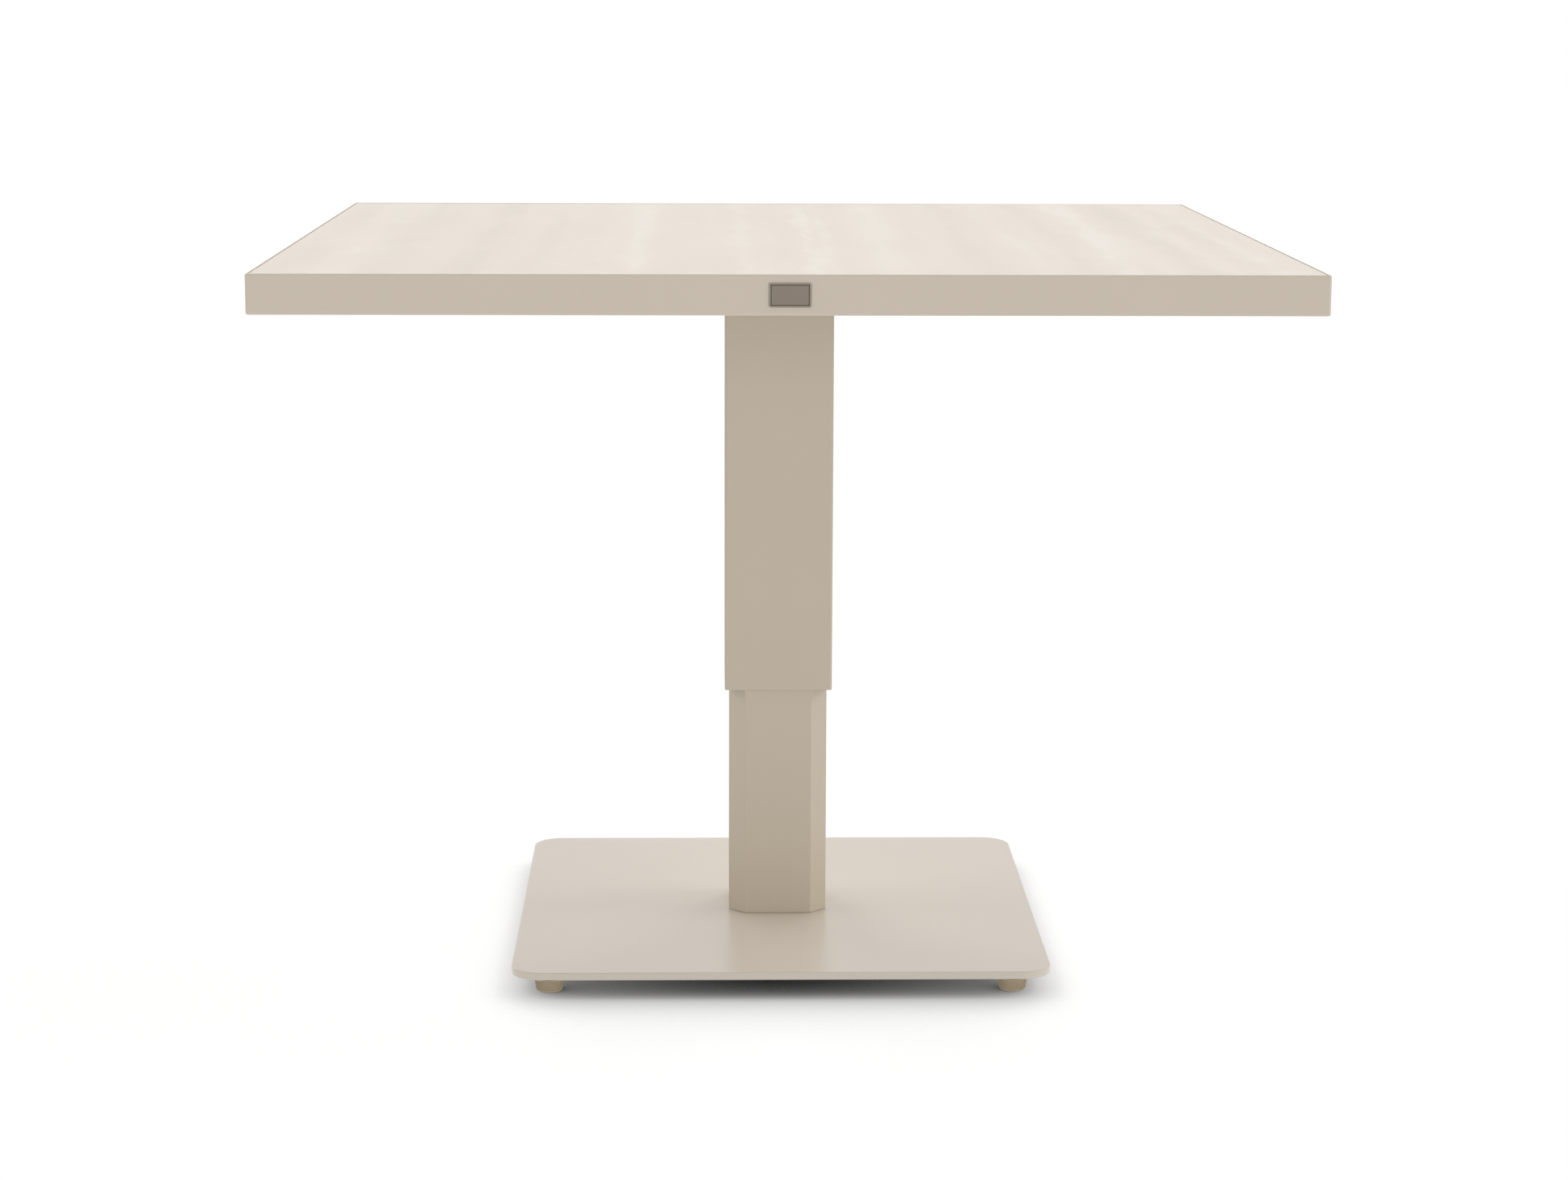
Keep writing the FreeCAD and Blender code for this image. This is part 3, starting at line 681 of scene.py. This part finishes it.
def makeStone():
    v = stone
    tree, shader = newFinish("slab_ceramic", v["colour"], Roughness=v["roughness"], IOR=1.5)
    links = tree.links
    place = objectSpace(tree)
    ragged = tearSideways(tree, place)
    broad = stretchedNoise(tree, place, *v["broadNoise"])
    fine = stretchedNoise(tree, place, *v["fineNoise"])
    grain = stretchedNoise(tree, place, *v["grainNoise"])
    face = makeStoneColour(tree, place, ragged, broad, fine, grain)
    # the underside shows the slab's grey, woven backing
    underside = (boxOf("tabletop_slab")[0][2] + v["backingDepth"]) * mm
    split = tree.nodes.new("ShaderNodeSeparateXYZ")
    links.new(place, split.inputs[0])
    below = mathNode(tree, "LESS_THAN", split.outputs["Z"], underside)
    links.new(mixColours(tree, below, face, v["backing"]), shader.inputs["Base Color"])
    swing = v["roughnessSwing"]
    rough = timesPlus(tree, grain, swing, v["roughness"] - swing / 2)
    rough = timesPlus(tree, below, v["backingRougher"], rough, clamp=True)
    links.new(rough, shader.inputs["Roughness"])
    weave = putNode(tree, "ShaderNodeTexChecker", Scale=v["weaveScale"])
    links.new(place, weave.inputs["Vector"])
    pores = times(tree, grain, v["grainHeight"])
    woven = times(tree, weave.outputs["Fac"], below)
    addBump(tree, shader, plus(tree, pores, woven), *v["bump"])


makeStone()
print("finishes made:", len(finishes))


# base plate; here and below, a bevel is a width in mm and a number of segments

basePlate = {"corner": (32, 20), "topEdge": (1.2, 4), "bottomEdge": (1.0, 4)}


def makeBasePlate():
    low, high = boxOf("base_plate")
    plate = addBlock("basePlate", low, high)
    bevelEdges(plate, isUpright, *basePlate["corner"])
    bevelEdges(plate, isLevelAt(high[2]), *basePlate["topEdge"])
    bevelEdges(plate, isLevelAt(low[2]), *basePlate["bottomEdge"])
    # the plate wears the lighter copy of the column paint, its extra lightness painted light
    finishPiece(plate, "base", "column_paint", "base_plate", finish="plate_paint_lit_copy")


makeBasePlate()


# square tubes of the column

outerColumn = {"node": "outer_column", "wall": 3.0, "outside": [(3.0, 6)], "inside": [(1.0, 6)],
               "mouthEdge": (0.7, 3)}
# the corners are cut at 45 degrees, and the cuts' edges rounded by radius times tan 22.5
innerColumn = {"node": "inner_column", "wall": 3.0, "outside": [(17.0, 1), (1.2 * 0.414, 5)],
               "inside": [(15.24, 1), (0.4 * 0.414, 5)], "mouthEdge": (0.9, 2)}


def makeTube(name, v, body):
    # two blocks with equally many corner points, their ends taken off and bridged
    low, high = boxOf(v["node"])
    wall = v["wall"]
    outside = addBlock(name, low, high)
    inside = addBlock("bore", (low[0] + wall, low[1] + wall, low[2]),
                      (high[0] - wall, high[1] - wall, high[2]))
    for block, bevels in ((outside, v["outside"]), (inside, v["inside"])):
        for width, segments in bevels:
            bevelEdges(block, isUpright, width, segments)
        openEnds(block, facesUpOrDown, block is inside)
    tube = bridgeWalls(name, outside, inside, (low[2], high[2]))
    bevelEdges(tube, isLevelAt(low[2]), *v["mouthEdge"])
    finishPiece(tube, body, "column_paint", v["node"])


makeTube("outerColumn", outerColumn, "upper")
makeTube("innerColumn", innerColumn, "base")
print("base and columns made")


# frame of the top

# wide: the least area of a face as large as the top, in square metres; diagonal: cosine of 45
frameRail = {"corner": (3.0, 5), "edge": (1.9, 5), "lip": 2.2, "innerEdge": (0.8, 3),
             "holeCorner": (0.6, 5), "wide": 0.5, "seam": 0.06, "diagonal": 0.71,
             "wedgeReach": 1.2, "wedgeSpare": 5}


def makeFrameRails():
    v = frameRail
    lowFront, highFront = boxOf("frame_rail_front")
    half, top, bottom = -lowFront[1], highFront[2], lowFront[2]
    inner = half - (highFront[1] - lowFront[1])
    ledge = boxOf("slab_pads")[0][2]
    ring = addBlock("frameRing", (-half, -half, bottom), (half, half, top))
    bevelEdges(ring, isUpright, *v["corner"])
    for z in (top, bottom):
        bevelEdges(ring, isLevelAt(z), *v["edge"])
    pick(ring, "FACE", isLevelAt(top))
    bpy.ops.mesh.inset(thickness=(v["lip"] - v["edge"][0]) * mm, depth=0)
    done()

    def isWide(face):
        return face.calc_area() > v["wide"]

    # the recess that takes the slab
    pick(ring, "FACE", lambda face: isLevelAt(top)(face) and isWide(face))
    bpy.ops.mesh.extrude_region_move(
        TRANSFORM_OT_translate={"value": (0, 0, (ledge - top) * mm)})
    done()
    openEnds(ring, lambda face: facesUpOrDown(face) and isWide(face))
    hole = addBlock("hole", (-inner, -inner, bottom), (inner, inner, ledge))
    bevelEdges(hole, isUpright, *v["holeCorner"])
    openEnds(hole, facesUpOrDown, insideOut=True)
    ring = bridgeWalls("frameRing", ring, hole, (ledge, bottom))

    def isHoleEdge(edge):
        spot = middleOf(edge)
        far = max(abs(spot.x), abs(spot.y))
        return isLevelAt(bottom)(edge) and far < inner + nearEnough["line"]

    bevelEdges(ring, isHoleEdge, *v["innerEdge"])
    # parted at the mitres, with a hair's breadth between the rails
    reach, spare = half * v["wedgeReach"], v["wedgeSpare"]
    for i, side in enumerate(("front", "right", "back", "left")):
        rail = copyOf(ring, "frameRail_" + side)
        wedge = addRound("wedge", reach, bottom - spare, top + spare, 4,
                         y=-reach - v["seam"] * v["diagonal"])
        wedge.data.transform(Matrix.Rotation(math.radians(90 * i), 4, "Z"))
        keepCommon(rail, wedge)
        outwards(rail)
        finishPiece(rail, "upper", "frame_powder_coat", "frame_rail_" + side)
    bpy.data.objects.remove(ring)


makeFrameRails()
print("frame made")


# cross rails

crossRail = {"edge": (2.2, 5)}


def makeCrossRails():
    for side in ("front", "back"):
        low, high = boxOf("cross_rail_" + side)
        rail = addBlock("crossRail_" + side, low, high)
        bevelEdges(rail, runsAlong(0), *crossRail["edge"])
        finishPiece(rail, "upper", "frame_powder_coat", "cross_rail_" + side)


makeCrossRails()


# weld beads

weldBead = {"radius": 2.6, "pitch": 1.9, "squash": (0.75, 1, 1), "segments": 8, "rings": 5,
            "least": 3, "cornerCut": 3.0, "railRadius": 2.0, "railInset": 2, "railLift": 0.6}


def addBead(name, radius, squash, segments, rings, place=(0, 0, 0), turn=0):
    deselectAll()
    bpy.ops.mesh.primitive_uv_sphere_add(
        segments=segments, ring_count=rings, radius=radius * mm,
        location=[v * mm for v in place], rotation=(0, 0, math.radians(turn)))
    bead = bpy.context.object
    bead.name = bead.data.name = name
    bead.scale = squash
    settle(bead)
    return bead


def weldRow(start, end, radius):  # overlapping scallops from start to end, along X or Y
    v = weldBead
    start, end = Vector(start), Vector(end)
    length = (end - start).length
    row = addBead("weld", radius, v["squash"], v["segments"], v["rings"])
    pitch = v["pitch"] * radius / v["radius"]
    count = max(v["least"], int(length / pitch))
    applyModifier(row, "ARRAY", count=count, use_relative_offset=False,
                  use_constant_offset=True,
                  constant_offset_displace=(length / (count - 1) * mm, 0, 0))
    turn = math.atan2(end.y - start.y, end.x - start.x)
    row.data.transform(Matrix.Translation(start * mm) @ Matrix.Rotation(turn, 4, "Z"))
    return row


def finishWelds(name, rows, slotName):
    finishPiece(joinAll(name, rows), "upper", slotName, angle=80, weighted=False)


def makeColumnWeld():  # along the top of the outer column
    high = boxOf("outer_column")[1]
    half, z = high[0], high[2]
    reach = half - weldBead["cornerCut"]
    spots = [(-reach, -half), (reach, -half), (half, -reach), (half, reach), (reach, half),
             (-reach, half), (-half, reach), (-half, -reach)]
    rows = [weldRow(a + (z,), b + (z,), weldBead["radius"])
            for a, b in zip(spots, spots[1:] + spots[:1])]
    finishWelds("columnWeld", rows, "column_paint")


def makeRailWelds():  # at the ends of the cross rails
    v = weldBead
    rows = []
    for side in ("front", "back"):
        low, high = boxOf("cross_rail_" + side)
        z = low[2] + v["railLift"]
        for x in (low[0], high[0]):
            rows.append(weldRow((x, low[1] + v["railInset"], z), (x, high[1] - v["railInset"], z),
                                v["railRadius"]))
    finishWelds("railWelds", rows, "frame_powder_coat")


makeColumnWeld()
makeRailWelds()
print("welds made")


# screws and nuts

hexScrew = {"flats": 13.0, "height": 5.3, "chamfer": (0.9, 2, 0.35), "chamferSides": 48,
            "shank": 8.0, "shankSides": 32, "washerFace": 0.4, "washerRadius": 6.0,
            "washerSides": 36}


def makeHexHead(name, seat, x, y):  # hangs under its seat, its corners turned off
    v = hexScrew
    radius = v["flats"] / math.sqrt(3)
    low = seat - v["height"]
    head = addRound(name, radius, low, seat - v["washerFace"], 6, x, y)
    blank = addRound("blank", radius, low, seat, v["chamferSides"], x, y)
    bevelEdges(blank, isLevelAt(low), *v["chamfer"])
    keepCommon(head, blank)
    face = addRound("face", v["washerRadius"], seat - v["washerFace"], seat, v["washerSides"],
                    x, y)
    return joinAll(name, [head, face])


def makeScrews(name, node, body):
    v = hexScrew
    low, high = boxOf(node)
    seat = low[2] + v["height"]
    x, y = high[0] - v["flats"] / 2, high[1] - v["flats"] / math.sqrt(3)
    parts = []
    for sx, sy in corners.values():
        parts.append(makeHexHead(name, seat, sx * x, sy * y))
        parts.append(addRound(name, v["shank"] / 2, seat, high[2], v["shankSides"],
                              sx * x, sy * y))
    finishPiece(joinAll(name, parts), body, "zinc_steel", node)


makeScrews("headScrews", "head_bolts", "upper")
makeScrews("footPlateScrews", "column_foot_bolts", "base")


weldNut = {"flats": 14.0, "bore": 4.06, "boreSides": 24, "edge": (0.5, 2),
           # dabs of weld on three of the flats
           "dab": 1.5, "dabTurns": (60, 180, 300), "dabSquash": (0.8, 1.5, 0.9),
           "dabSegments": 14, "dabRings": 9, "dabOut": 0.3, "dabDown": 0.2}


def makeWeldNuts():
    v = weldNut
    low, high = boxOf("weld_nuts")
    radius = v["flats"] / math.sqrt(3)
    x, y = high[0] - v["flats"] / 2, high[1] - radius
    nut = addRound("weldNut", radius, low[2], high[2], 6)
    bevelEdges(nut, isLevelAt(low[2]), *v["edge"])
    bore = addRound("bore", v["bore"], low[2], high[2], v["boreSides"])
    for block in (nut, bore):
        openEnds(block, lambda face: isLevelAt(low[2])(face) or isLevelAt(high[2])(face),
                 block is bore)
    parts = [bridgeWalls("weldNut", nut, bore, (low[2], high[2]))]
    reach = v["flats"] / 2 + v["dabOut"]
    for turn in v["dabTurns"]:
        a = math.radians(turn)
        parts.append(addBead(
            "dab", v["dab"], v["dabSquash"], v["dabSegments"], v["dabRings"],
            (reach * math.cos(a), reach * math.sin(a), high[2] - v["dabDown"]), turn))
    nut = joinAll("weldNut", parts)
    copies = [copyOf(nut, "nutCopy", (sx * x, sy * y, 0)) for sx, sy in corners.values()]
    bpy.data.objects.remove(nut)
    finishPiece(joinAll("weldNuts", copies), "base", "zinc_steel", "weld_nuts")


makeWeldNuts()
print("screws and nuts made")


# levelling feet

levellingFoot = {"ribs": 60, "ribDepth": 0.35, "ribSide": 0.08, "ribsFrom": 2.6, "ribsTo": 12.2,
                 "turn": 1.5, "bottomRadius": 13.5, "bottomEdge": (2.0, 5), "topEdge": (0.6, 2),
                 "dishRim": 3.0, "dishSlope": 1.0, "dishDepth": 0.8, "footTurn": 17}
footThread = {"radius": 4.0, "root": 3.35, "pitch": 1.25, "sides": 28, "lead": 0.2, "plain": 0.8,
              "tip": 0.88, "inGlide": 1.0}


def makeGlide(low, high):
    v = levellingFoot
    radius = (high[0] - low[0]) / 2
    glide = addRound("glide", radius, low[2], high[2], v["ribs"] * 2, turn=v["turn"])
    share = v["bottomRadius"] / radius
    pick(glide, "FACE", isLevelAt(low[2]))
    bpy.ops.transform.resize(value=(share, share, 1))
    done()
    bevelEdges(glide, isLevelAt(low[2]), *v["bottomEdge"])
    bevelEdges(glide, isLevelAt(high[2]), *v["topEdge"])
    for z in (v["ribsFrom"], v["ribsTo"]):
        cutAcross(glide, 2, z)

    def isGroove(face):  # every second strip of the side
        spot = middleOf(face)
        step = math.degrees(math.atan2(spot.y, spot.x)) / (180 / v["ribs"])
        onSide = v["ribsFrom"] < spot.z < v["ribsTo"] and not facesUpOrDown(face)
        return onSide and round(step) % 2 == 0

    pick(glide, "FACE", isGroove)
    bpy.ops.mesh.inset(thickness=v["ribSide"] * mm, depth=-v["ribDepth"] * mm,
                       use_individual=True)
    done()
    # shallow dish under the foot
    pick(glide, "FACE", lambda face: isLevelAt(low[2])(face) and len(face.verts) > v["ribs"])
    bpy.ops.mesh.inset(thickness=v["dishRim"] * mm, depth=0)
    bpy.ops.mesh.inset(thickness=v["dishSlope"] * mm, depth=-v["dishDepth"] * mm)
    done()
    return glide


def makeStem(bottom, top):  # rings of thread, drawn up one flank at a time
    v = footThread
    radius, root, pitch = v["radius"], v["root"], v["pitch"]
    stem = addRound("stem", root, bottom, bottom + v["lead"], v["sides"])
    pick(stem, "FACE", isLevelAt(bottom + v["lead"]))

    def drawUp(rise, grow):
        bpy.ops.mesh.extrude_region_move(TRANSFORM_OT_translate={"value": (0, 0, rise * mm)})
        bpy.ops.transform.resize(value=(grow, grow, 1))

    turns = int((top - bottom - v["plain"]) / pitch)
    for grow in (radius / root, root / radius) * turns:
        drawUp(pitch / 2, grow)
    drawUp(top - bottom - v["lead"] - turns * pitch, v["tip"])
    done()
    return stem


def makeFeet():
    low, high = boxOf("foot_glide_front_right")
    stemTop = boxOf("foot_stem_front_right")[1][2]
    x, y = (low[0] + high[0]) / 2, -(low[1] + high[1]) / 2
    half = (high[0] - low[0]) / 2
    glide = makeGlide((-half, -half, low[2]), (half, half, high[2]))
    stem = makeStem(high[2] - footThread["inGlide"], stemTop)
    for corner, (sx, sy) in corners.items():
        body, place = "foot_" + corner, (sx * x, sy * y, 0)
        turn = levellingFoot["footTurn"] * (sx + 2 * sy)  # each foot has its own
        foot = copyOf(glide, "footGlide_" + corner, place, turn)
        finishPiece(foot, body, "glide_plastic", "foot_glide_" + corner, angle=40, weighted=False)
        screw = copyOf(stem, "footStem_" + corner, place)
        finishPiece(screw, body, "zinc_steel", "foot_stem_" + corner, angle=50, weighted=False)
    for piece in (glide, stem):
        bpy.data.objects.remove(piece)


makeFeet()
print("feet made")


# plates and bars whose sharp edges are eased

easedEdge = {"turn": 40, "segments": 2, "flat": 0.5}  # turn and flat in degrees


def isSharp(edge):
    return math.degrees(edge.calc_face_angle(0)) > easedEdge["turn"]


def easePiece(node, name, body, slotName, width, finish=None):
    piece = copyOf(nodes[node], name)
    pick(piece, "FACE", lambda face: True)
    bpy.ops.mesh.remove_doubles(threshold=nearEnough["samePoint"])
    bpy.ops.mesh.dissolve_limited(angle_limit=math.radians(easedEdge["flat"]))
    done()
    bevelEdges(piece, isSharp, width, easedEdge["segments"])
    finishPiece(piece, body, slotName, node, finish=finish)


easePiece("tabletop_slab", "tabletopSlab", "upper", "slab_ceramic", 0.25)
easePiece("head_plate", "headPlate", "upper", "column_paint", 0.7)
easePiece("lever_bracket", "leverBracket", "upper", "zinc_steel", 0.35)
easePiece("lever_bar", "leverBar", "release_lever", "zinc_steel", 0.6, "bar_steel")
easePiece("outer_guide_collar", "guideCollar", "upper", "guide_plastic", 0.3)
print("edges eased")


# bare badge plate

badgePlate = {"corner": (1.6, 6), "edge": (0.6, 3), "rim": 0.75, "slope": 0.15,
              "grooveDepth": 0.5, "field": 2.3, "fieldCorner": (1.1, 6), "fieldEdge": (0.15, 2),
              "fieldSunk": 0.15, "fieldBack": 0.2}


def makeBadge():
    v = badgePlate
    low, high = boxOf("badge_plate")
    plate = addBlock("badgePlate", low, high)
    bevelEdges(plate, runsAlong(1), *v["corner"])
    bevelEdges(plate, standsAt(1, low[1]), *v["edge"])
    pick(plate, "FACE", standsAt(1, low[1]))
    bpy.ops.mesh.inset(thickness=v["rim"] * mm, depth=0)
    bpy.ops.mesh.inset(thickness=v["slope"] * mm, depth=-v["grooveDepth"] * mm)
    done()
    # the bare field stands in the groove's frame
    front = low[1] + v["fieldSunk"]
    field = addBlock(
        "badgeField", (low[0] + v["field"], front, low[2] + v["field"]),
        (high[0] - v["field"], high[1] - v["fieldBack"], high[2] - v["field"]))
    bevelEdges(field, runsAlong(1), *v["fieldCorner"])
    bevelEdges(field, standsAt(1, front), *v["fieldEdge"])
    finishPiece(joinAll("badgePlate", [plate, field]), "upper", "badge_metal", "badge_plate")


makeBadge()


# grip of the release lever

leverGrip = {"round": (5.5, 6), "farEnd": (3.5, 5), "nearEnd": (1.0, 3), "grooves": 8,
             "grooveWidth": 2.2, "grooveDepth": 0.7, "firstGroove": 18.0, "groovePitch": 9.0,
             "grooveEdge": (0.25, 2), "sharp": 1.2, "sideways": 0.2}


def makeGrip():
    v = leverGrip
    low, high = boxOf("lever_grip")
    grip = addBlock("leverGrip", low, high)
    bevelEdges(grip, runsAlong(0), *v["round"])
    bevelEdges(grip, standsAt(0, high[0]), *v["farEnd"])
    bevelEdges(grip, standsAt(0, low[0]), *v["nearEnd"])
    starts = [low[0] + v["firstGroove"] + i * v["groovePitch"] for i in range(v["grooves"])]
    for start in starts:
        for x in (start, start + v["grooveWidth"]):
            cutAcross(grip, 0, x)

    def isInGroove(part, spare=0.0):
        x = middleOf(part).x
        return any(s - spare < x < s + v["grooveWidth"] + spare for s in starts)

    def isGrooveEdge(edge):  # across the grip, and sharp
        across = abs(direction(edge).x) < nearEnough["across"]
        sharp = edge.calc_face_angle(0) > v["sharp"]
        return across and sharp and isInGroove(edge, nearEnough["line"])

    pick(grip, "FACE", lambda face: abs(face.normal.x) < v["sideways"] and isInGroove(face))
    bpy.ops.mesh.extrude_region_shrink_fatten(
        TRANSFORM_OT_shrink_fatten={"value": -v["grooveDepth"] * mm})
    done()
    bevelEdges(grip, isGrooveEdge, *v["grooveEdge"])
    finishPiece(grip, "release_lever", "grip_plastic", "lever_grip")


makeGrip()
print("badge and grip made")


# CAD nodes that stay, in their own finishes

def dressNodes():
    slotOf = {part["node"]: part["material_slot"] for part in frame["record"]["subparts"]}
    for name, piece in nodes.items():
        if piece.hide_render:
            continue
        material = finishes[slotOf[name]]
        if not piece.material_slots:
            piece.data.materials.append(material)
        for place in piece.material_slots:
            place.material = material


dressNodes()
print("nodes dressed")


# floor, light and camera

studio = {"skyStrength": 0.36, "floorSize": 60, "floorTone": 0.42, "floorLift": 0.48,
          "floorReach": 0.35, "floorGlow": 0.79, "floorPaint": 0.27, "sideLean": 3.0,
          "leanLimit": 0.8, "shadeSamples": 24,
          # how fast the rim fades, how deep it is, brightness beyond it
          "shadowRim": (0.5, 0.62, 1.0),
          # bearing from the front, height angle, strength, softness
          "lamps": {"lowLeft": (-20, 5, 0.36, 20), "lowRight": (45, 5, 0.55, 20),
                    "highLeft": (-95, 38, 0.62, 36), "highRight": (95, 38, 0.85, 36),
                    "backLeft": (-150, 32, 0.84, 36), "backRight": (150, 32, 0.84, 36)},
          "lampDistance": 4}
# film width and focal length in mm, angles in radians, place in metres
view = {"film": 36, "lens": 78.13, "pitch": 0.17791, "yaw": 0.02336, "roll": -0.00378,
        "place": (-0.07774, -3.62601, 1.02791)}


def whereSeen(tree):  # by the eye, in gloss or through glass
    path = tree.nodes.new("ShaderNodeLightPath")
    return mathNode(tree, "MAXIMUM", path.outputs["Is Camera Ray"],
                    mathNode(tree, "MAXIMUM", path.outputs["Is Glossy Ray"],
                             path.outputs["Is Transmission Ray"]))


def openToLight(tree):  # 1 in the open, less where the table shuts light out: the mask of the floor's painted shadow
    v = studio
    near = putNode(tree, "ShaderNodeAmbientOcclusion", Distance=v["floorReach"],
                   samples=v["shadeSamples"])
    # light reaches under the plate from the sides, so the shadow's normal leans outwards there
    split = tree.nodes.new("ShaderNodeSeparateXYZ")
    tree.links.new(objectSpace(tree), split.inputs[0])
    lean = times(tree, split.outputs["X"], v["sideLean"])
    leaned = tree.nodes.new("ShaderNodeCombineXYZ")
    lean = mathNode(tree, "MAXIMUM", lean, -v["leanLimit"])
    tree.links.new(mathNode(tree, "MINIMUM", lean, v["leanLimit"]), leaned.inputs["X"])
    leaned.inputs["Z"].default_value = 1.0
    level = putNode(tree, "ShaderNodeVectorMath", operation="NORMALIZE")
    tree.links.new(leaned.outputs[0], level.inputs[0])
    tree.links.new(level.outputs[0], near.inputs["Normal"])
    return near.outputs["AO"]


def addShadowRim(tree, bare):  # a wide, faint painted shadow round the dark of the painted shadow
    fade, depth, beyond = studio["shadowRim"]
    shut = mathNode(tree, "SUBTRACT", 1.0, bare, clamp=True)
    shut = mathNode(tree, "POWER", shut, fade)
    return mathNode(tree, "MINIMUM", bare, timesPlus(tree, shut, -depth, beyond))


def makeFloorFinish():
    v = studio
    material = bpy.data.materials.new("paleFloor")
    material.use_nodes = True
    tree = material.node_tree
    tree.nodes.clear()
    links = tree.links
    out = tree.nodes.new("ShaderNodeOutputMaterial")
    paint = tree.nodes.new("ShaderNodeBsdfDiffuse")
    lift = putNode(tree, "ShaderNodeEmission", Color=(1, 1, 1, 1))
    bare = openToLight(tree)
    seen = whereSeen(tree)
    clear = addShadowRim(tree, bare)
    # the glow and the paint seen by the eye are darkened by this mask: a painted shadow under and
    # round the plate
    glow = timesPlus(tree, clear, v["floorGlow"], -v["floorLift"])
    links.new(timesPlus(tree, seen, glow, v["floorLift"]), lift.inputs["Strength"])
    shade = putNode(tree, "ShaderNodeMix", data_type="RGBA", blend_type="MIX")
    links.new(seen, shade.inputs[0])
    shade.inputs[6].default_value = [v["floorTone"]] * 3 + [1]
    links.new(times(tree, clear, v["floorPaint"]), shade.inputs[7])
    links.new(shade.outputs[2], paint.inputs["Color"])
    both = tree.nodes.new("ShaderNodeAddShader")
    links.new(paint.outputs[0], both.inputs[0])
    links.new(lift.outputs[0], both.inputs[1])
    # open from below
    sides = tree.nodes.new("ShaderNodeMixShader")
    links.new(tree.nodes.new("ShaderNodeNewGeometry").outputs["Backfacing"], sides.inputs[0])
    links.new(both.outputs[0], sides.inputs[1])
    links.new(tree.nodes.new("ShaderNodeBsdfTransparent").outputs[0], sides.inputs[2])
    links.new(sides.outputs[0], out.inputs["Surface"])
    return material


def makeFloor():
    deselectAll()
    bpy.ops.mesh.primitive_plane_add(size=studio["floorSize"])
    floor = bpy.context.object
    floor.name = floor.data.name = "floor"
    floor.data.materials.append(makeFloorFinish())


def makeWorld():
    world = bpy.data.worlds.new("studio")
    bpy.context.scene.world = world
    world.use_nodes = True
    tree = world.node_tree
    background = tree.nodes["Background"]
    background.inputs["Color"].default_value = (1, 1, 1, 1)
    sky = studio["skyStrength"]
    bright = timesPlus(tree, whereSeen(tree), 1.0 - sky, sky)
    tree.links.new(bright, background.inputs["Strength"])


def makeLamps():
    for name, (bearing, rise, strength, softness) in studio["lamps"].items():
        a, e = math.radians(bearing), math.radians(rise)
        away = Vector((math.sin(a) * math.cos(e), -math.cos(a) * math.cos(e), math.sin(e)))
        deselectAll()
        bpy.ops.object.light_add(type="SUN", location=away * studio["lampDistance"])
        lamp = bpy.context.object
        lamp.name = name
        lamp.data.energy = strength
        lamp.data.angle = math.radians(softness)
        lamp.visible_glossy = False  # gloss shows the white studio and no glare
        lamp.rotation_euler = away.to_track_quat("Z", "Y").to_euler()


def makeCamera():
    camera = bpy.data.objects.new("camera", bpy.data.cameras.new("camera"))
    bpy.context.scene.collection.objects.link(camera)
    camera.data.sensor_width = view["film"]
    camera.data.lens = view["lens"]
    turned = (Matrix.Rotation(-view["yaw"], 4, "Z")
              @ Matrix.Rotation(math.pi / 2 - view["pitch"], 4, "X")
              @ Matrix.Rotation(-view["roll"], 4, "Z"))
    camera.matrix_world = Matrix.Translation(view["place"]) @ turned
    bpy.context.scene.camera = camera


makeFloor()
makeWorld()
makeLamps()
makeCamera()
bpy.context.scene.view_settings.view_transform = "Standard"
print("studio made")
